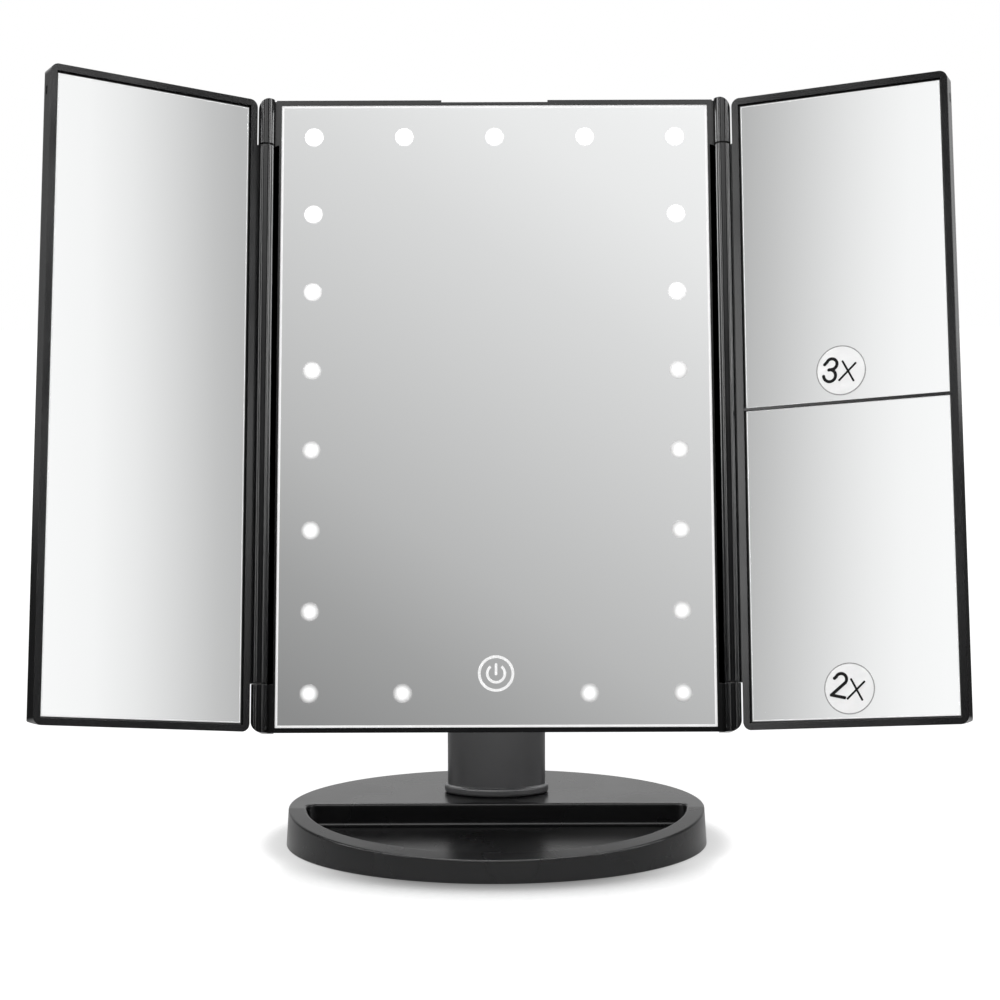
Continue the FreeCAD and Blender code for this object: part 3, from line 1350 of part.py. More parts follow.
os.makedirs("parts", exist_ok=True)
for item in NODES:
    item.Shape.exportStep(f"parts/{item.Label}.step")
    box = item.Shape.BoundBox
    print(f"{item.Label:20s} solids {len(item.Shape.Solids):3d} volume {item.Shape.Volume:10.1f} mm3  "
          f"x {box.XMin:7.1f} {box.XMax:7.1f}  y {box.YMin:7.1f} {box.YMax:7.1f}  "
          f"z {box.ZMin:7.1f} {box.ZMax:7.1f}")
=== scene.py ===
# %% [markdown]
# A trifold vanity mirror, dressed
# --------------------------------
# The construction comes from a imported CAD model: every piece is already in its place, in metres,
# with +Z up and the viewer at -Y.  This script gives each piece its finish, adds the small parts
# that are looks only, and sets up the studio.  The frame is loaded first and never moved.

# %% Load the fixed frame
import json
import math

import bmesh
import bpy
from mathutils import Matrix, Vector


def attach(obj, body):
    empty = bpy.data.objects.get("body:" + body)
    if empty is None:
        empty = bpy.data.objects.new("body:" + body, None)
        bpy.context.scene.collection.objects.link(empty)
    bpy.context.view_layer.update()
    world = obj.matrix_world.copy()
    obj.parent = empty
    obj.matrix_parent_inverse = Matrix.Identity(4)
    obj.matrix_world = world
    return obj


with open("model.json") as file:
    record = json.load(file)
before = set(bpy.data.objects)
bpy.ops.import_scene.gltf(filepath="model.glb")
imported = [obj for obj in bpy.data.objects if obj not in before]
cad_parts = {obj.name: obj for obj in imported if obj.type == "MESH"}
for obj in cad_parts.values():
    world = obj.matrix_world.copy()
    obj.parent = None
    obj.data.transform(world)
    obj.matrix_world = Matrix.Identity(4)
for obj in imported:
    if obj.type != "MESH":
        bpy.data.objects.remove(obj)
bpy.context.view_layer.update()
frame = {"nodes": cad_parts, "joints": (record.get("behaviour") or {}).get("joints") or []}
nodes = frame["nodes"]
MM = 0.001


# %% [markdown]
# Reading places from the frame
# -----------------------------
# Several small parts belong on screws, stickers and panes whose places the CAD holds.  Those
# places could be typed again, but then they would drift when the CAD changes.  So the helpers
# here split a node into its separate solids, and read a flat pane's own directions.

# %% The panel's directions and a node's solids
fold_joint = next(joint for joint in frame["joints"] if joint["name"] == "left_wing_fold")
panel_up = Vector(fold_joint["axis"]).normalized()
panel_right = Vector((1, 0, 0))
panel_rear = panel_up.cross(panel_right).normalized()
WELD = 0.005 * MM           # corners nearer than this are one corner


def solids_of(name):
    """The corner points of each separate solid in a node, from the top down."""
    mesh = bmesh.new()
    mesh.from_mesh(nodes[name].data)
    bmesh.ops.remove_doubles(mesh, verts=mesh.verts, dist=WELD)
    unvisited, found = set(mesh.verts), []
    for start in mesh.verts:
        if start not in unvisited:
            continue
        unvisited.remove(start)
        queue, island = [start], []
        while queue:
            vert = queue.pop()
            island.append(vert.co.copy())
            for edge in vert.link_edges:
                other = edge.other_vert(vert)
                if other in unvisited:
                    unvisited.remove(other)
                    queue.append(other)
        found.append(island)
    mesh.free()
    found.sort(key=lambda points: -max(point.z for point in points))
    return found


def span(points, axis):
    """Lowest and highest place of some points along a direction."""
    places = [point.dot(axis) for point in points]
    return min(places), max(places)


def middle_of(points, right, up, out):
    """The middle of the outermost face of some points, seen from the side that out points to."""
    sideways = sum(span(points, right)) / 2
    upwards = sum(span(points, up)) / 2
    return right * sideways + up * upwards + out * span(points, out)[1]


print("up the panel", [round(v, 4) for v in panel_up], "behind it", [round(v, 4) for v in panel_rear])

# %% The panes' own directions
UPRIGHT = 0.1               # a pane's front has a normal this nearly square to panel_up
FACING = -0.3               # and at least this much towards -Y


def pane_axes(name):
    """(centre of the front face, right, up, normal, (width, height)) of a flat upright pane."""
    points = [point for island in solids_of(name) for point in island]
    fronts = [face for face in nodes[name].data.polygons
              if abs(face.normal.dot(panel_up)) < UPRIGHT and face.normal.y < FACING]
    normal = max(fronts, key=lambda face: face.area).normal.normalized()
    right = panel_up.cross(normal).normalized()
    low_x, high_x = span(points, right)
    low_z, high_z = span(points, panel_up)
    centre = middle_of(points, right, panel_up, normal)
    return centre, right, panel_up, normal, (high_x - low_x, high_z - low_z)


PANE_NAMES = ("main_mirror", "left_wing_mirror", "upper_magnifier", "lower_magnifier")
PANES = {name: pane_axes(name) for name in PANE_NAMES}
for name, (centre, *_, size) in PANES.items():
    print(name, "centre mm", [round(v / MM, 1) for v in centre],
          "size mm", [round(v / MM, 1) for v in size])


# %% [markdown]
# The camera
# ----------
# A product shot uses a long lens from a little above the table, so that the panel's sides stay
# nearly upright.  A camera could be aimed at the object by a constraint, but then the view would
# shift with the object's size, so the lens and place are fixed numbers.

# %% Camera
CAMERA_PLACE = Vector((1.6, -833.2, 209.2)) * MM
CAMERA_PITCH = 5.881        # degrees down
CAMERA_ROLL = -0.185        # degrees
CAMERA_LENS = 85.15         # mm
PICTURE_WIDTH = 36          # mm
NEAREST = 10 * MM           # nothing closer than this is seen
camera = bpy.data.objects.new("camera", bpy.data.cameras.new("camera"))
camera.data.sensor_width = PICTURE_WIDTH
camera.data.lens = CAMERA_LENS
camera.data.clip_start = NEAREST
bpy.context.scene.collection.objects.link(camera)
camera.matrix_world = (Matrix.Translation(CAMERA_PLACE)
                       @ Matrix.Rotation(math.radians(90 - CAMERA_PITCH), 4, "X")
                       @ Matrix.Rotation(math.radians(CAMERA_ROLL), 4, "Z"))
bpy.context.scene.camera = camera
view_right, view_up, view_back = [camera.matrix_world.to_3x3().col[i].copy() for i in range(3)]
print("camera", [round(v / MM, 1) for v in CAMERA_PLACE], "lens", camera.data.lens)


# %% [markdown]
# Building materials
# ------------------
# Every finish is a small node tree.  One function puts a node into a tree, with its settings and
# its inputs, where an input may be a plain value or the output of another node.  Colours are
# written as the sRGB hex values that a painter would pick, and one function makes them linear.

# %% Node and colour helpers
def linear(code, alpha=1.0):
    """An sRGB hex colour as linear values."""
    parts = [int(code[i:i + 2], 16) / 255 for i in (1, 3, 5)]
    return (*[c / 12.92 if c <= 0.04045 else ((c + 0.055) / 1.055) ** 2.4 for c in parts], alpha)


def put(tree, kind, sockets=None, stops=(), **settings):
    """Adds a node with its settings; a socket's entry is a value or another node's output.

    The stops of a colour ramp are (place, hex colour) pairs, from its start to its end.
    """
    made = tree.nodes.new(kind)
    for key, value in settings.items():
        setattr(made, key, value)
    for key, value in (sockets or {}).items():
        if isinstance(value, bpy.types.NodeSocket):
            tree.links.new(value, made.inputs[key])
        else:
            made.inputs[key].default_value = value
    if stops:
        ramp = made.color_ramp.elements
        ramp[0].position = stops[0][0]
        ramp[1].position = stops[-1][0]
        for place, code in stops[1:-1]:
            ramp.new(place)
        for element, (place, code) in zip(ramp, stops):
            element.color = linear(code)
    return made


def material(name, sockets):
    """A material with one Principled shader, whose plain values are set on its own sockets.

    Its last result is the place on a piece, in metres and in the CAD's own directions.
    """
    made = bpy.data.materials.new(name)
    made.use_nodes = True
    tree = made.node_tree
    tree.nodes.clear()
    shader = put(tree, "ShaderNodeBsdfPrincipled", sockets)
    put(tree, "ShaderNodeOutputMaterial", {"Surface": shader.outputs["BSDF"]})
    return made, tree, shader, put(tree, "ShaderNodeTexCoord").outputs["Object"]


print("black plastic in linear light", [round(v, 4) for v in linear("#0a0a0b")])


# %% [markdown]
# Soft limits
# -----------
# A deep groove in a plastic, a lamp in the world and a sheet on the floor are each a level that
# holds inside some limits.  A picture could be painted for that, but limits that are numbers are
# easy to move.  A Map Range node set to a smooth step makes one soft limit, and the limits of one
# thing are multiplied.  Colours are laid over each other in the same way.

# %% Limits, sums and layers made of nodes
def combined(tree, operation, *values):
    """One value from several, multiplied or added one after the other."""
    total = values[0]
    for value in values[1:]:
        total = put(tree, "ShaderNodeMath", {0: total, 1: value}, operation=operation).outputs["Value"]
    return total


def within(tree, *limits):
    """The product of smooth steps, each (value, start, end, level before, level after)."""
    steps = []
    for value, start, end, before, after in limits:
        sockets = {"Value": value, "From Min": start, "From Max": end, "To Min": before, "To Max": after}
        step = put(tree, "ShaderNodeMapRange", sockets, interpolation_type="SMOOTHSTEP")
        steps.append(step.outputs["Result"])
    return combined(tree, "MULTIPLY", *steps)


def band(value, start, end, fade, level=1.0):
    """The two limits of a band: up to a level at its start, down to nothing past its end."""
    return (value, start - fade, start, 0.0, level), (value, end, end + fade, 1.0, 0.0)


def layered(tree, base, *layers):
    """A base colour with others laid over it; a layer is (how far it covers, colour)."""
    for covers, colour in layers:
        # a colour Mix has its factor in socket 0, its colours in 6 and 7, and its result in output 2
        base = put(tree, "ShaderNodeMix", {0: covers, 6: base, 7: colour}, data_type="RGBA").outputs[2]
    return base


LEAN = math.atan2(panel_up.y, panel_up.z)


def panel_places(tree):
    """Object coordinates turned with the panel: x across, y behind, z up along it."""
    spot = put(tree, "ShaderNodeTexCoord").outputs["Object"]
    upright = put(tree, "ShaderNodeMapping", {"Vector": spot, "Rotation": (LEAN, 0, 0)})
    return put(tree, "ShaderNodeSeparateXYZ", {"Vector": upright.outputs["Vector"]}).outputs


print("the panel leans", round(math.degrees(LEAN), 1), "degrees")


# %% [markdown]
# Black moulded ABS
# -----------------
# The base, stem, frames and shell are injection-moulded ABS from steel tools.  The base's tool is
# finely sparked, which gives a satin black: a soft gloss, and bright lines where the mould's
# small edge radii catch the light.  The frames' tool is polished, so their gloss is tighter.  The
# stem and the back are sparked more coarsely.  They scatter more light and read as a dark grey.
# The grain could be displaced geometry, but at a few hundredths of a millimetre a bump is enough.
# The real grain is about 0.08 mm, too fine to show, so it is drawn at 0.35 mm.  A Bevel node
# rounds the edges for the light only.

# %% Moulded plastic
GRAIN = 0.35 * MM
PATCH = 30 * MM             # size of the patches that are a little lighter or glossier
EDGE_RADIUS = 0.5 * MM
GLOSS_DRIFT = 0.03          # roughness more or less from patch to patch
DRIFT_RANGE = (0.3, 0.7)    # the part of a noise's values that its patches lie in


def moulded_plastic(name, colours, roughness, grain_depth, edge=EDGE_RADIUS, shine=0.5):
    made, tree, shader, spot = material(name, {"IOR": 1.53, "Specular IOR Level": shine})
    patches = put(tree, "ShaderNodeTexNoise", {"Vector": spot, "Scale": 1 / PATCH, "Detail": 3.0})
    grain = put(tree, "ShaderNodeTexNoise", {"Vector": spot, "Scale": 1 / GRAIN, "Detail": 2.0})
    light, dark = colours
    low, high = DRIFT_RANGE
    colour = put(tree, "ShaderNodeValToRGB", {"Fac": patches.outputs["Fac"]},
                 stops=[(low, dark), (high, light)])
    gloss = put(tree, "ShaderNodeMapRange", {"Value": patches.outputs["Fac"], "From Min": low,
                                             "From Max": high, "To Min": roughness - GLOSS_DRIFT,
                                             "To Max": roughness + GLOSS_DRIFT})
    soft = put(tree, "ShaderNodeBevel", {"Radius": edge}, samples=4)
    bump = put(tree, "ShaderNodeBump", {"Height": grain.outputs["Fac"], "Strength": 0.35,
                                        "Distance": grain_depth, "Normal": soft.outputs["Normal"]})
    tree.links.new(colour.outputs["Color"], shader.inputs["Base Color"])
    tree.links.new(gloss.outputs["Result"], shader.inputs["Roughness"])
    tree.links.new(bump.outputs["Normal"], shader.inputs["Normal"])
    return made


BLACK = ("#0a0a0b", "#070708")
POLISHED = {"colours": BLACK, "roughness": 0.18, "grain_depth": 0.004 * MM, "edge": 0.2 * MM, "shine": 0.28}
abs_satin = moulded_plastic("abs_satin_black", BLACK, 0.27, 0.012 * MM, shine=0.3)
abs_textured = moulded_plastic("abs_textured_black", ("#454547", "#414142"), 0.38, 0.02 * MM, shine=0.8)
abs_rear = moulded_plastic("abs_satin_rear", ("#1b1b1c", "#171718"), 0.34, 0.02 * MM)
abs_polished = moulded_plastic("abs_polished_black", **POLISHED)
nylon_black = moulded_plastic("nylon_black", ("#161617", "#111112"), 0.5, 0.03 * MM)
print("grain drawn at", GRAIN / MM, "mm")


# %% [markdown]
# Painted shade in the groove beside the hinge barrels
# ----------------------------------------------------
# Between the main pane and each wing's barrel the front frame has a deep narrow groove.  Light
# goes in and hardly comes back, so it looks dead black beside the polished plastic.  The groove
# in the CAD is shallower than that.  A deeper cut would weaken the frame, so the shade is painted:
# inside limits worked out from the pane and the hinge pins, the plastic is painted black, rough
# and metallic, so that it gives nothing back.

# %% Painted shade in the groove
PIN_IN_KNUCKLE = 12 * MM    # length of a pin that stands in a knuckle, where there is no groove
PAST_PANE = 0.85 * MM       # from the pane's edge to the groove
SHARP = 0.1 * MM            # over how much a limit across or along the panel passes
BEHIND_GLASS = (0.2 * MM, 0.7 * MM)
# painted shade: inside the groove the plastic is black, fully rough and metallic
GROOVE_SHADE = {"Base Color": (0, 0, 0, 1), "Roughness": (1, 1, 1, 1)}
abs_groove_shade = moulded_plastic("abs_polished_painted_shade", **POLISHED)
tree = abs_groove_shade.node_tree
places = panel_places(tree)
centre, *_, size = PANES["main_mirror"]
pin_points = [point for island in solids_of("hinge_pins") for point in island]
low, high = span(pin_points, panel_up)
barrel_half = (high - low) / 2 - PIN_IN_KNUCKLE
groove_from = size[0] / 2 + PAST_PANE
glass_face = centre.dot(panel_rear)
aside = put(tree, "ShaderNodeMath", {0: places["X"]}, operation="ABSOLUTE").outputs["Value"]
level = put(tree, "ShaderNodeMath", {0: places["Z"], 1: (low + high) / 2}, operation="SUBTRACT")
off_level = put(tree, "ShaderNodeMath", {0: level.outputs["Value"]}, operation="ABSOLUTE").outputs["Value"]
# where the shade is painted: past the pane's edge, behind the glass, and along the barrel
painted_groove_shade = within(tree, (aside, groove_from, groove_from + SHARP, 0.0, 1.0),
                (places["Y"], glass_face + BEHIND_GLASS[0], glass_face + BEHIND_GLASS[1], 0.0, 1.0),
                (off_level, barrel_half, barrel_half + SHARP, 1.0, 0.0))
shader = next(node for node in tree.nodes if node.type == "BSDF_PRINCIPLED")
for name, painted_value in GROOVE_SHADE.items():
    usual = shader.inputs[name].links[0].from_socket
    tree.links.new(layered(tree, usual, (painted_groove_shade, painted_value)), shader.inputs[name])
tree.links.new(painted_groove_shade, shader.inputs["Metallic"])
print("groove from mm", round(groove_from / MM, 2), "over", round(2 * barrel_half / MM, 1), "mm")


# %% [markdown]
# Silvered glass
# --------------
# A mirror pane is float glass with silver and paint behind it.  Seen from the front it is almost
# all reflection, with a trace of green from the glass.  A metal with a very low roughness shows
# that, and needs no layers.  Cleaning leaves a faint haze in patches, about 40 mm across.

# %% Mirror
HAZE = 40 * MM
HAZE_ROUGHNESS = (0.004, 0.016)
mirror_glass, tree, shader, spot = material("silvered_glass", {"Base Color": linear("#fcfdfd"),
                                                               "Metallic": 1.0})
haze = put(tree, "ShaderNodeTexNoise", {"Vector": spot, "Scale": 1 / HAZE, "Detail": 2.0})
rough = put(tree, "ShaderNodeMapRange", {"Value": haze.outputs["Fac"], "To Min": HAZE_ROUGHNESS[0],
                                         "To Max": HAZE_ROUGHNESS[1]})
tree.links.new(rough.outputs["Result"], shader.inputs["Roughness"])
print("mirror", mirror_glass.name)


# %% [markdown]
# Lit acrylic
# -----------
# The round windows and the switch mark are places where the silvering is left off, over an opal
# sheet lit by small white diodes.  The sheet's own border shows round the pane, bright but not a
# lamp.  A real lamp behind a real sheet would be slow and noisy to render, so the acrylic gives
# a little light of its own.  It is polished on its face, with an IOR of 1.49.

# %% Opal sheet and switch mark
CLOUD = 6 * MM


def lit_acrylic(name, colour, glow, roughness):
    made, tree, shader, spot = material(name, {"Emission Color": linear(colour), "IOR": 1.49,
                                               "Emission Strength": glow, "Roughness": roughness})
    cloud = put(tree, "ShaderNodeTexNoise", {"Vector": spot, "Scale": 1 / CLOUD, "Detail": 1.0})
    tint = put(tree, "ShaderNodeValToRGB", {"Fac": cloud.outputs["Fac"]},
               stops=[(0.2, "#e8e8e8"), (0.8, colour)])
    tree.links.new(tint.outputs["Color"], shader.inputs["Base Color"])
    return made, tree, shader


icon_glow = lit_acrylic("acrylic_mark_lit", "#f4f4f4", 0.05, 0.4)[0]
opal_sheet = lit_acrylic("acrylic_opal", "#f4f4f4", 0.15, 0.2)[0]
print("lit acrylics", icon_glow.name, opal_sheet.name)


# %% [markdown]
# Windows that fade into the mirror
# ---------------------------------
# The silvering thins out round each window, so its light ends softly, over about two millimetres.
# Each window could have a material of its own with its own centre.  But the windows stand on the
# lines of one regular grid, so one material does it: two Ping-Pong nodes fold the whole pane onto
# one window, and the distance from its centre turns lit acrylic into silver.

# %% Where the windows are
SAME_LINE = 5 * MM          # spots closer than this along one direction stand in one line
window_spots = [sum(points, Vector()) / len(points) for points in solids_of("light_windows")]
levels = [spot.dot(panel_up) for spot in window_spots]
places = [spot.x for spot in window_spots]
rows = sum(place < min(places) + SAME_LINE for place in places)
columns = sum(level > max(levels) - SAME_LINE for level in levels)
row_pitch = (max(levels) - min(levels)) / (rows - 1)
column_pitch = (max(places) - min(places)) / (columns - 1)
print(rows, "rows at mm", round(row_pitch / MM, 2), columns, "columns at mm", round(column_pitch / MM, 2))

# %% Fading windows
FADE = (1.65 * MM, 3.85 * MM)       # from a spot's centre: where silvering starts, and is full
WINDOW_ROUGHNESS = (0.3, 0.02)      # of the acrylic, and of the silvered glass round it
window_glow, tree, shader = lit_acrylic("acrylic_window_lit", "#ffffff", 0.12, 0.4)
parts = panel_places(tree)
lifted = put(tree, "ShaderNodeMath", {0: parts["Z"], 1: -min(levels)}, operation="ADD")
off_x = put(tree, "ShaderNodeMath", {0: parts["X"], 1: column_pitch / 2}, operation="PINGPONG")
off_z = put(tree, "ShaderNodeMath", {0: lifted.outputs["Value"], 1: row_pitch / 2}, operation="PINGPONG")
from_spot = put(tree, "ShaderNodeCombineXYZ", {"X": off_x.outputs["Value"], "Y": off_z.outputs["Value"]})
far = put(tree, "ShaderNodeVectorMath", {0: from_spot.outputs["Vector"]}, operation="LENGTH")
silvered = put(tree, "ShaderNodeMapRange", {"Value": far.outputs["Value"], "From Min": FADE[0],
                                            "From Max": FADE[1]}).outputs["Result"]
glow = put(tree, "ShaderNodeValToRGB", {"Fac": silvered}, stops=[(0.0, "#ffffff"), (1.0, "#000000")])
gloss = put(tree, "ShaderNodeMapRange", {"Value": silvered, "To Min": WINDOW_ROUGHNESS[0],
                                         "To Max": WINDOW_ROUGHNESS[1]})
tree.links.new(silvered, shader.inputs["Metallic"])
tree.links.new(glow.outputs["Color"], shader.inputs["Emission Color"])
tree.links.new(gloss.outputs["Result"], shader.inputs["Roughness"])
print("windows fade from", FADE[0] / MM, "to", FADE[1] / MM, "mm")


# %% [markdown]
# Metal, foam and the rest
# ------------------------
# Screws, pins and springs are nickel-plated steel: bright, with fine turning lines round them.
# The ballast is plain rolled steel.  The grip pad and the adhesive strips are closed-cell foam,
# matt black with small cells.  Washers are natural acetal, slightly waxy.  The boards, stickers
# and inks are thin even coatings, whose colour only drifts a little from patch to patch.  Most of
# these are hidden, so each takes few nodes, but none is a single flat colour.

# %% Metals
LINE = 0.15 * MM            # distance of the turning or rolling lines
DULLER = 0.12               # how much rougher a metal is between its lines


def steel(name, colours, roughness, streak_length):
    made, tree, shader, spot = material(name, {"Metallic": 1.0})
    stretch = put(tree, "ShaderNodeMapping", {"Vector": spot, "Scale": (1.0, 1.0, LINE / streak_length)})
    lines = put(tree, "ShaderNodeTexNoise", {"Vector": stretch.outputs["Vector"], "Scale": 1 / LINE})
    light, dark = colours
    colour = put(tree, "ShaderNodeValToRGB", {"Fac": lines.outputs["Fac"]},
                 stops=[(0.35, dark), (0.65, light)])
    rough = put(tree, "ShaderNodeMapRange", {"Value": lines.outputs["Fac"], "To Min": roughness,
                                             "To Max": roughness + DULLER})
    tree.links.new(colour.outputs["Color"], shader.inputs["Base Color"])
    tree.links.new(rough.outputs["Result"], shader.inputs["Roughness"])
    return made


nickel_steel = steel("steel_nickel_plated", ("#d9d6cf", "#bdb9b1"), 0.18, 3 * MM)
rolled_steel = steel("steel_rolled", ("#8f8f8e", "#767675"), 0.38, 20 * MM)
print("metals", nickel_steel.name, rolled_steel.name)

# %% Foam
CELL = 0.7 * MM
foam_black, tree, shader, spot = material("foam_closed_cell", {"Roughness": 0.92, "Sheen Weight": 0.1})
cells = put(tree, "ShaderNodeTexVoronoi", {"Vector": spot, "Scale": 1 / CELL})
skin = put(tree, "ShaderNodeValToRGB", {"Fac": cells.outputs["Distance"]},
           stops=[(0.0, "#101010"), (0.7, "#262626")])
bump = put(tree, "ShaderNodeBump", {"Height": cells.outputs["Distance"], "Strength": 0.6,
                                    "Distance": CELL * 0.2})
tree.links.new(skin.outputs["Color"], shader.inputs["Base Color"])
tree.links.new(bump.outputs["Normal"], shader.inputs["Normal"])
print("foam cells drawn at", CELL / MM, "mm")


# %% Acetal, boards, film and ink
def coated(name, light, dark, patch, roughness, ior, shine=0.5):
    """A smooth coating whose colour drifts a little from patch to patch."""
    made, tree, shader, spot = material(name, {"Roughness": roughness, "IOR": ior,
                                               "Specular IOR Level": shine})
    drift = put(tree, "ShaderNodeTexNoise", {"Vector": spot, "Scale": 1 / patch, "Detail": 2.0})
    colour = put(tree, "ShaderNodeValToRGB", {"Fac": drift.outputs["Fac"]},
                 stops=[(0.35, dark), (0.65, light)])
    tree.links.new(colour.outputs["Color"], shader.inputs["Base Color"])
    return made


acetal = coated("acetal_natural", "#e9e7df", "#dfdcd2", 3 * MM, 0.35, 1.48)
solder_mask = coated("solder_mask_white", "#eceee9", "#dfe3dc", 2 * MM, 0.3, 1.5)
phosphor = coated("led_phosphor", "#f2dd84", "#e8cf70", 1 * MM, 0.45, 1.5)
battery_wrap = coated("battery_wrap_film", "#3a4652", "#333e49", 8 * MM, 0.25, 1.54)
sticker_film = coated("pet_film_white", "#e6e6e6", "#e1e1e1", 5 * MM, 0.3, 1.5)
# black ink for the sticker marks; the same black is painted shade in the screw recesses
ink_and_recess_shade_black = coated("ink_and_recess_shade_black", "#060606", "#040404", 2 * MM, 0.6, 1.5, shine=0.15)
ink_grey = coated("ink_grey", "#989898", "#909090", 2 * MM, 0.5, 1.5, shine=0.2)
# a painted shadow line and a painted highlight round the wing panes
shadow_line_black = coated("painted_shadow_line", "#060606", "#040404", 4 * MM, 0.6, 1.41)
highlight_white = coated("painted_pane_highlight", "#ffffff", "#f4f6f5", 3 * MM, 0.25, 1.52)
print("finishes", [made.name for made in (acetal, solder_mask, sticker_film, shadow_line_black)])


# %% [markdown]
# Dressing the CAD nodes
# ----------------------
# A CAD piece already has the right shape, so it only takes a finish.  The finish could be put on
# its mesh, but it goes into the object's own slots, so that the mesh stays as it was packed.
# One table says which finish each piece has, and the cell stops if a piece is missed.

# %% Give every node its finish
FINISH = [
    (abs_satin, ["base_shell", "base_bottom_plate"]),
    (abs_rear, ["rear_shell", "battery_cover"]),
    (abs_textured, ["stem"]),
    (abs_groove_shade, ["front_frame"]),
    (abs_polished, ["left_wing_frame", "right_wing_frame", "axle_caps"]),
    (nylon_black, ["switch_body", "power_switch_knob"]),
    (mirror_glass, list(PANES)),
    (window_glow, ["light_windows"]),
    (icon_glow, ["touch_icon"]),
    (opal_sheet, ["diffuser_sheet"]),
    (nickel_steel, ["tilt_axle", "hinge_pins", "base_screws", "stem_screws", "shell_screws",
                    "battery_springs", "battery_contacts", "usb_inlet"]),
    (rolled_steel, ["ballast_plate"]),
    (foam_black, ["grip_pad", "mirror_tape", "left_wing_pads", "right_wing_pads"]),
    (acetal, ["friction_washers"]),
    (solder_mask, ["led_board", "control_board", "touch_sensor"]),
    (phosphor, ["led_chips"]),
    (battery_wrap, ["battery_cells"]),
    (sticker_film, ["sticker_discs"]),
    (ink_and_recess_shade_black, ["sticker_marks"]),
]
dressed = set()
for finish, members in FINISH:
    for name in members:
        piece = nodes[name]
        if not piece.material_slots:
            piece.data.materials.append(None)
        for slot in piece.material_slots:
            slot.link = "OBJECT"
            slot.material = finish
        dressed.add(name)
if set(nodes) - dressed:
    raise ValueError(f"no finish for {sorted(set(nodes) - dressed)}")
print("dressed", len(dressed), "nodes")


# %% [markdown]
# Small parts
# -----------
# The rest is too thin or too fine for the CAD: outlines, a painted shadow line and a painted
# highlight round the wing panes, painted shade in the screw recesses and a thumb grip.  Each is a
# small bmesh in the panel's own directions.  One function stands a flat drawing on a face: x to
# the right, y up, z out of the face.

# %% Standing a drawing on a face, and finishing a piece
def stand_on(centre, right, up, normal):
    """The matrix that carries a drawing in x, y onto a face, with z out of it."""
    turn = Matrix((right, up, normal)).transposed().to_4x4()
    return Matrix.Translation(centre) @ turn


def finish_piece(name, mesh, body, made_of):
    """Makes an object of a bmesh, which rides on a body and takes its finish from a slot."""
    bmesh.ops.recalc_face_normals(mesh, faces=mesh.faces)
    data = bpy.data.meshes.new(name)
    mesh.to_mesh(data)
    mesh.free()
    data.materials.append(made_of)
    piece = bpy.data.objects.new(name, data)
    bpy.context.scene.collection.objects.link(piece)
    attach(piece, body)
    print(f"{name}: {len(data.polygons)} faces on {body}")


# %% Rings, frames and bars
def raise_faces(mesh, faces, place, thick):
    """Gives flat faces a thickness towards z of their place."""
    raised = bmesh.ops.extrude_face_region(mesh, geom=faces, use_keep_orig=True)
    verts = [item for item in raised["geom"] if isinstance(item, bmesh.types.BMVert)]
    bmesh.ops.translate(mesh, verts=verts, vec=place.to_3x3() @ Vector((0, 0, thick)))


def rim_on(mesh, face, place, edge, thick):
    """Insets a flat face once, takes its middle out, and gives the rim that is left a thickness."""
    inset = bmesh.ops.inset_individual(mesh, faces=[face], thickness=edge)
    bmesh.ops.delete(mesh, geom=[face], context="FACES_ONLY")
    raise_faces(mesh, inset["faces"], place, thick)


def ring_on(mesh, place, inner, outer, thick, steps=64):
    """A flat ring."""
    disc = bmesh.ops.create_circle(mesh, cap_ends=True, segments=steps, radius=outer, matrix=place)
    face = next(f for f in mesh.faces if all(v in disc["verts"] for v in f.verts))
    rim_on(mesh, face, place, outer - inner, thick)


def frame_on(mesh, place, width, height, edge, thick):
    """A flat rectangular frame of a given edge width."""
    shape = place @ Matrix.Diagonal((width, height, 1, 1))
    grid = bmesh.ops.create_grid(mesh, x_segments=1, y_segments=1, size=0.5, matrix=shape)
    rim_on(mesh, grid["verts"][0].link_faces[0], place, edge, thick)


def bar_on(mesh, place, width, height, thick):
    """A block that stands on a face, its middle at the place."""
    shape = place @ Matrix.Translation((0, 0, thick / 2)) @ Matrix.Diagonal((width, height, thick, 1))
    bmesh.ops.create_cube(mesh, size=1, matrix=shape)


FILM = 0.03 * MM
print("a film or print stands", FILM / MM, "mm proud")


# %% [markdown]
# Painted shadow and highlight round the wing panes, and sticker outlines
# -----------------------------------------------------------------------
# Round each wing pane the gap to the frame shows as a black line of shade, with a thin bright line
# inside it where the glass edge catches the light, all round.  Both are painted: they could be cut
# into the pane, but the pane is CAD and stays as it is, so two hair-thin frames lie on it, a black
# one of painted shadow and a white one of painted highlight.  The stickers have a printed grey
# outline, a thin ring.

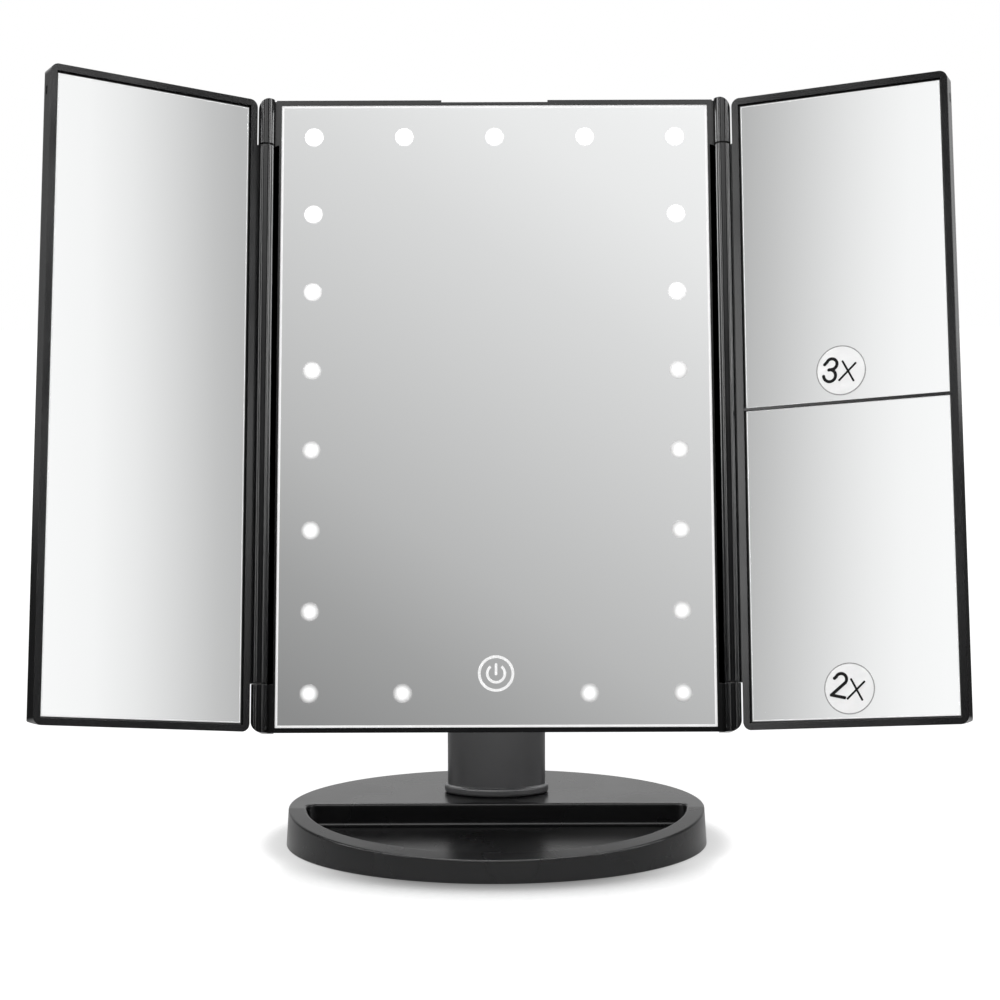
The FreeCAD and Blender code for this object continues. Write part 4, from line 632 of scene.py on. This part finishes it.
# %% Painted shadow line and highlight round the wing panes
# widths of the painted shadow line round a wing pane, and of the painted highlight inside it
SHADOW_LINE = 0.7 * MM
HIGHLIGHT_LINE = 0.3 * MM
WINGS = {"left_wing": ["left_wing_mirror"], "right_wing": ["upper_magnifier", "lower_magnifier"]}
for body, panes in WINGS.items():
    centre, right, up, normal, _ = PANES[panes[0]]
    face = centre.dot(normal)
    points = [point for name in panes for point in solids_of(name)[0]]
    sides, ends = span(points, right), span(points, up)
    across = right * sum(sides) / 2
    width, height = sides[1] - sides[0], ends[1] - ends[0]
    middle = across + up * sum(ends) / 2 + normal * face
    mesh = bmesh.new()
    frame_on(mesh, stand_on(middle, right, up, normal), width, height, SHADOW_LINE, FILM)
    finish_piece(body + "_painted_shadow", mesh, body, shadow_line_black)
    mesh = bmesh.new()
    for name in panes:
        low, high = span(solids_of(name)[0], up)
        low, high = max(low, ends[0] + SHADOW_LINE), min(high, ends[1] - SHADOW_LINE)
        middle = across + up * (low + high) / 2 + normal * face
        frame_on(mesh, stand_on(middle, right, up, normal), width - 2 * SHADOW_LINE, high - low, HIGHLIGHT_LINE, FILM)
    finish_piece(body + "_painted_highlights", mesh, body, highlight_white)

# %% Sticker outlines
OUTLINE = 0.4 * MM
_, right, up, normal, _ = PANES["upper_magnifier"]
mesh = bmesh.new()
for points in solids_of("sticker_discs"):
    low, high = span(points, right)
    radius = (high - low) / 2
    place = stand_on(middle_of(points, right, up, normal), right, up, normal)
    ring_on(mesh, place, radius - OUTLINE, radius, FILM)
finish_piece("sticker_outlines", mesh, "right_wing", ink_grey)


# %% [markdown]
# Painted shade in the screw recesses, and the thumb grip
# -------------------------------------------------------
# A cross recess is a hole, dark with shade; at this size a cross of painted shade on the head reads
# the same.  The battery cover has raised ribs for the thumb and an arrow that says which way it
# slides.  Ribs are blocks with their long edges bevelled, because moulded ribs have round tops.

# %% Painted shade in the screw recesses
RECESS_SHADE_CROSS = (2.5 * MM, 0.6 * MM)
SCREWS = {
    # screws: their body, then right, up and out as seen by one who looks at the heads
    "shell_screws": ("head", -panel_right, panel_up, panel_rear),
    "base_screws": ("stand", Vector((1, 0, 0)), Vector((0, -1, 0)), Vector((0, 0, -1))),
}
for screws, (body, right, up, out) in SCREWS.items():
    mesh = bmesh.new()
    for points in solids_of(screws):
        place = stand_on(middle_of(points, right, up, out), right, up, out)
        # a black cross of painted shade in each recess
        bar_on(mesh, place, RECESS_SHADE_CROSS[0], RECESS_SHADE_CROSS[1], FILM)
        bar_on(mesh, place, RECESS_SHADE_CROSS[1], RECESS_SHADE_CROSS[0], FILM)
    finish_piece(screws[:-1] + "_painted_recess_shade", mesh, body, ink_and_recess_shade_black)

# %% Thumb grip on the battery cover
RIB = (16 * MM, 1.1 * MM, 0.55 * MM)        # width, height, thickness
RIB_ROUND = 0.25 * MM
RIB_PITCH = 2.3 * MM
RIB_COUNT = 6
FIRST_RIB = 9 * MM          # up from the cover's lower edge
ARROW = 27 * MM             # the arrow's middle, also from there
ARROW_RADIUS = 3.6 * MM
ARROW_THICK = 0.3 * MM
cover_points = [point for island in solids_of("battery_cover") for point in island]
lower_edge = span(cover_points, panel_up)[0]
cover_back = span(cover_points, panel_rear)[1]
cover_middle_x = sum(span(cover_points, panel_right)) / 2


def on_cover(level):
    """A place on the cover's back, in its middle, at a level above its lower edge."""
    spot = panel_right * cover_middle_x + panel_up * (lower_edge + level) + panel_rear * cover_back
    return stand_on(spot, -panel_right, panel_up, panel_rear)


mesh = bmesh.new()
for n in range(RIB_COUNT):
    bar_on(mesh, on_cover(FIRST_RIB + n * RIB_PITCH), *RIB)
long_edges = [edge for edge in mesh.edges if edge.calc_length() > RIB[0] * 0.9]
bmesh.ops.bevel(mesh, geom=long_edges, offset=RIB_ROUND, segments=3, profile=0.5, affect="EDGES",
                material=-1)
arrow = bmesh.ops.create_circle(mesh, cap_ends=True, segments=3, radius=ARROW_RADIUS,
                                matrix=on_cover(ARROW))
raise_faces(mesh, arrow["verts"][0].link_faces[:1], on_cover(ARROW), ARROW_THICK)
finish_piece("battery_cover_grip", mesh, "battery_cover", abs_rear)


# %% [markdown]
# The studio
# ----------
# Matt surfaces are lit by an even white sweep.  Shiny surfaces also show what they face, so for
# them the world holds a tabletop studio: in front, two narrow strip lamps at each side and one
# lamp high in the middle, over a grey far wall; behind, a pale backdrop and a lamp overhead.
# Black plastic would otherwise look like a hole, because all that it shows is its gloss.  Lamps
# could be objects, but they would then show in other views and need hiding one by one.

# %% Lamps that shiny surfaces see
SWEEP = 0.9                 # strength of the light on matt surfaces
WALL = 0.05                 # strengths of what shiny surfaces see
SIDE_STRIPS = 14.0
FRONT_LAMP = 4.0
FAR_WALL = (0.5, 0.15)      # the second is its share at the sides
BACKDROP = (0.85, 0.2)      # in the middle, and at the sides
TOP_LAMP = 8.0
# Where they are, by the parts of a direction of length 1: from, to, and how softly a lamp ends
STRIPS_ASIDE = ((0.65, 0.7, 0.02), (0.855, 0.92, 0.02))
STRIPS_HIGH = (0.3, 0.62, 0.06)
FRONT_ASIDE = (0.3, 0.45)
FRONT_HIGH = (0.52, 0.78, 0.06)
FAR_ASIDE = (0.6, 0.8)
FAR_HIGH = (0.1, 0.22)
BACK_ASIDE = (0.45, 0.9)
BEHIND = (-0.1, 0.1)
TOP_HIGH = (0.7, 0.82)
TOP_BEHIND = (0.0, 0.12)
world = bpy.data.worlds.new("studio")
bpy.context.scene.world = world
world.use_nodes = True
tree = world.node_tree
tree.nodes.clear()
toward = put(tree, "ShaderNodeTexCoord").outputs["Generated"]
compass = put(tree, "ShaderNodeSeparateXYZ", {"Vector": toward}).outputs
back, high = compass["Y"], compass["Z"]
aside = put(tree, "ShaderNodeMath", {0: compass["X"]}, operation="ABSOLUTE").outputs["Value"]
upright = combined(tree, "ADD", *[within(tree, *band(aside, *strip)) for strip in STRIPS_ASIDE])
strips = combined(tree, "MULTIPLY", upright, within(tree, *band(high, *STRIPS_HIGH, SIDE_STRIPS)))
front_lamp = within(tree, (aside, *FRONT_ASIDE, 1.0, 0.0), *band(high, *FRONT_HIGH, FRONT_LAMP))
far_wall = within(tree, (aside, *FAR_ASIDE, 1.0, FAR_WALL[1]), (high, *FAR_HIGH, FAR_WALL[0], 0.0))
front_side = combined(tree, "ADD", strips, front_lamp, far_wall)
back_side = within(tree, (aside, *BACK_ASIDE, *BACKDROP))
behind = within(tree, (back, *BEHIND, 0.0, 1.0))
top_lamp = within(tree, (high, *TOP_HIGH, 0.0, TOP_LAMP), (back, *TOP_BEHIND, 0.0, 1.0))
round_about = put(tree, "ShaderNodeMix", {0: behind, 2: front_side, 3: back_side}, data_type="FLOAT")
lamps = combined(tree, "ADD", round_about.outputs[0], top_lamp, WALL)
seen = put(tree, "ShaderNodeCombineColor", {"Red": lamps, "Green": lamps, "Blue": lamps}).outputs["Color"]
print("studio lamps in", len(tree.nodes), "nodes")


# %% [markdown]
# Grey cards for the mirrors
# --------------------------
# A mirror shows whatever it faces, so its greys come from the studio and not from its finish.  A
# product shot of a mirror is made with cards: sheets that run from grey to white, stood where
# each pane looks.  Real cards would block light and show in other views, so they are drawn into
# the world, each in just the directions that its pane reflects.  The camera's own right and up,
# mirrored in a pane, give the directions along which a gradient lies square in that pane.

# %% Cards
CARDS = {
    # pane: degrees that the gradient turns from the camera's right, then (place, grey) stops
    "main_mirror": (56.6, [(-0.125, "#8d8d8d"), (-0.076, "#a2a2a2"), (-0.030, "#b9b9b9"), (0.032, "#cccccc"),
                           (0.087, "#dbdbdb"), (0.135, "#ebebeb"), (0.185, "#f5f5f5")]),
    "left_wing_mirror": (0.0, [(-0.190, "#fbfbfb"), (-0.169, "#f7f7f7"), (-0.152, "#ebebeb"),
                               (-0.135, "#d9d9d9"), (-0.119, "#c5c5c5"), (-0.108, "#bbbbbb")]),
    "upper_magnifier": (0.0, [(0.102, "#b8b8b8"), (0.114, "#c5c5c5"), (0.131, "#d8d8d8"), (0.144, "#e5e5e5"),
                              (0.156, "#efefef"), (0.169, "#f7f7f7"), (0.185, "#fbfbfb")]),
}
SHARED = {"upper_magnifier": ["lower_magnifier"]}       # panes that show the same card
CARD_FADE = 0.004           # how softly a card ends, in the same units as the places of the stops
AHEAD = (0.5, 0.7)          # a card is only on the side that its pane faces


def mirrored(direction, normal):
    """A direction as a pane with that normal reflects it."""
    return direction - normal * 2 * direction.dot(normal)


def corners_of(name):
    """Directions from the camera to the four corners of a pane."""
    centre, right, up, normal, (width, height) = PANES[name]
    return [(centre + right * i * width / 2 + up * k * height / 2 - CAMERA_PLACE).normalized()
            for i in (-1, 1) for k in (-1, 1)]


for name, (turn, stops) in CARDS.items():
    normal = PANES[name][3]
    corners = [corner for pane in (name, *SHARED.get(name, [])) for corner in corners_of(pane)]
    sideways, upwards = span(corners, view_right), span(corners, view_up)
    angle = math.radians(turn)
    slope = view_right * math.cos(angle) + view_up * math.sin(angle)
    parts = []
    for axis in (view_right, view_up, -view_back, slope):
        sockets = {0: toward, 1: mirrored(axis, normal)}
        parts.append(put(tree, "ShaderNodeVectorMath", sockets, operation="DOT_PRODUCT").outputs["Value"])
    covers = within(tree, *band(parts[0], *sideways, CARD_FADE), *band(parts[1], *upwards, CARD_FADE),
                    (parts[2], *AHEAD, 0.0, 1.0))
    start, end = stops[0][0], stops[-1][0]
    place = put(tree, "ShaderNodeMapRange", {"Value": parts[3], "From Min": start, "From Max": end})
    greys = [((at - start) / (end - start), grey) for at, grey in stops]
    card = put(tree, "ShaderNodeValToRGB", {"Fac": place.outputs["Result"]}, stops=greys)
    seen = layered(tree, seen, (covers, card.outputs["Color"]))
    print("card for", name, "spans", [round(v, 3) for v in (*sideways, *upwards)])


# %% [markdown]
# Which ray sees what
# -------------------
# The world now has three looks: the even sweep, the studio with its cards, and plain white for
# the background.  A stronger lamp could bleach the background instead, but it would bleach the
# object too, so a Light Path node picks the look by the kind of ray.

# %% Choosing by the ray
path = put(tree, "ShaderNodeLightPath")
sweep = put(tree, "ShaderNodeBackground", {"Color": (1, 1, 1, 1), "Strength": SWEEP})
cards = put(tree, "ShaderNodeBackground", {"Color": seen, "Strength": 1.0})
white = put(tree, "ShaderNodeBackground", {"Color": (1, 1, 1, 1), "Strength": 1.0})
glossy = put(tree, "ShaderNodeMixShader", {0: path.outputs["Is Glossy Ray"], 1: sweep.outputs["Background"],
                                           2: cards.outputs["Background"]})
clear = put(tree, "ShaderNodeMath", {0: path.outputs["Is Camera Ray"],
                                     1: path.outputs["Is Transmission Ray"]}, operation="MAXIMUM")
shown = put(tree, "ShaderNodeMixShader", {0: clear.outputs["Value"], 1: glossy.outputs["Shader"],
                                          2: white.outputs["Background"]})
put(tree, "ShaderNodeOutputWorld", {"Surface": shown.outputs["Shader"]})
print("world", world.name, "in", len(tree.nodes), "nodes")


# %% [markdown]
# Floor and lamp
# --------------
# The floor is matt and white.  To the camera it also gives a little light of its own, so the wide
# shade of the panel washes out and no horizon shows.  The dark line where the base meets the
# table is kept with an Ambient Occlusion node.  It looks further in front of the base than beside
# it, because there the shade reaches further.  Shiny surfaces see a white sheet in the middle of
# a dark table, which keeps their lower parts from looking grey.  One wide soft lamp high on the
# left gives the shapes their direction.

# %% Floor piece
FLOOR_HALF = 6.0
mesh = bmesh.new()
bmesh.ops.create_grid(mesh, x_segments=1, y_segments=1, size=FLOOR_HALF)
data = bpy.data.meshes.new("floor")
mesh.to_mesh(data)
mesh.free()
floor = bpy.data.objects.new("floor", data)
bpy.context.scene.collection.objects.link(floor)
floor_paint, tree, shader, spot = material("floor_matt_white", {"Roughness": 0.9, "Specular IOR Level": 0.0,
                                                                "Emission Strength": 1.0})
floor.data.materials.append(floor_paint)
print("floor", 2 * FLOOR_HALF, "m wide")

# %% Shade round the base
CONTACT = (12 * MM, 40 * MM)        # reach of the shade beside the base and in front of it
SHADE_DEPTH = (0.35, 0.74)          # how dark it is there, of 1
FRONT = (-0.95, -0.3)               # y of the direction from the middle: in front, and beside
THINNING = 8.0                      # how fast the shade thins out
way = put(tree, "ShaderNodeVectorMath", {0: spot}, operation="NORMALIZE").outputs["Vector"]
way_y = put(tree, "ShaderNodeSeparateXYZ", {"Vector": way}).outputs["Y"]
ahead = within(tree, (way_y, *FRONT, 1.0, 0.0))
reach = put(tree, "ShaderNodeMapRange", {"Value": ahead, "To Min": CONTACT[0], "To Max": CONTACT[1]})
depth = put(tree, "ShaderNodeMapRange", {"Value": ahead, "To Min": SHADE_DEPTH[0],
                                         "To Max": SHADE_DEPTH[1]})
near = put(tree, "ShaderNodeAmbientOcclusion", {"Distance": reach.outputs["Result"]}, samples=12)
open_sky = put(tree, "ShaderNodeMath", {0: near.outputs["AO"], 1: THINNING}, operation="POWER")
full = put(tree, "ShaderNodeMath", {0: 1.0, 1: depth.outputs["Result"]}, operation="SUBTRACT")
shade = put(tree, "ShaderNodeMapRange", {"Value": open_sky.outputs["Value"],
                                         "To Min": full.outputs["Value"], "To Max": 1.0}).outputs["Result"]
print("shade reaches", [round(v / MM) for v in CONTACT], "mm")

# %% Floor colours by the kind of ray
SHEET_ASIDE = (0.2, 0.36)           # metres from the middle over which the white sheet ends
SHEET_BACK = (0.1, 0.25)
NOTHING = (0, 0, 0, 1)
PAPER = linear("#f8f8f8")
TABLE = linear("#404040")
PAINT = linear("#989898")           # what the lit floor adds for the camera
OWN_LIGHT = linear("#ececec")       # what it gives off for the camera
path = put(tree, "ShaderNodeLightPath").outputs
spots = put(tree, "ShaderNodeSeparateXYZ", {"Vector": spot}).outputs
aside = put(tree, "ShaderNodeMath", {0: spots["X"]}, operation="ABSOLUTE").outputs["Value"]
sheet = within(tree, (aside, *SHEET_ASIDE, 1.0, 0.0), (spots["Y"], *SHEET_BACK, 1.0, 0.0))
watched = layered(tree, NOTHING, (shade, PAINT))
table_top = layered(tree, TABLE, (sheet, PAPER))
tone = layered(tree, PAPER, (path["Is Camera Ray"], watched), (path["Is Glossy Ray"], table_top))
own = layered(tree, NOTHING, (shade, OWN_LIGHT))
own = layered(tree, NOTHING, (path["Is Camera Ray"], own))
tree.links.new(tone, shader.inputs["Base Color"])
tree.links.new(own, shader.inputs["Emission Color"])
print("floor paint in", len(tree.nodes), "nodes")

# %% Lamp
LAMP_ENERGY = 0.6
LAMP_WIDTH = 35             # degrees that it takes up in the sky
LAMP_TURN = -28             # degrees to the left
LAMP_TIP = 40               # degrees from overhead
lamp = bpy.data.objects.new("soft_lamp", bpy.data.lights.new("soft_lamp", "SUN"))
lamp.data.energy = LAMP_ENERGY
lamp.data.angle = math.radians(LAMP_WIDTH)
lamp.matrix_world = (Matrix.Rotation(math.radians(LAMP_TURN), 4, "Z")
                     @ Matrix.Rotation(math.radians(LAMP_TIP), 4, "X"))
bpy.context.scene.collection.objects.link(lamp)
bpy.context.scene.view_settings.view_transform = "Standard"
print("lamp", round(lamp.data.energy, 2), "W/m2")
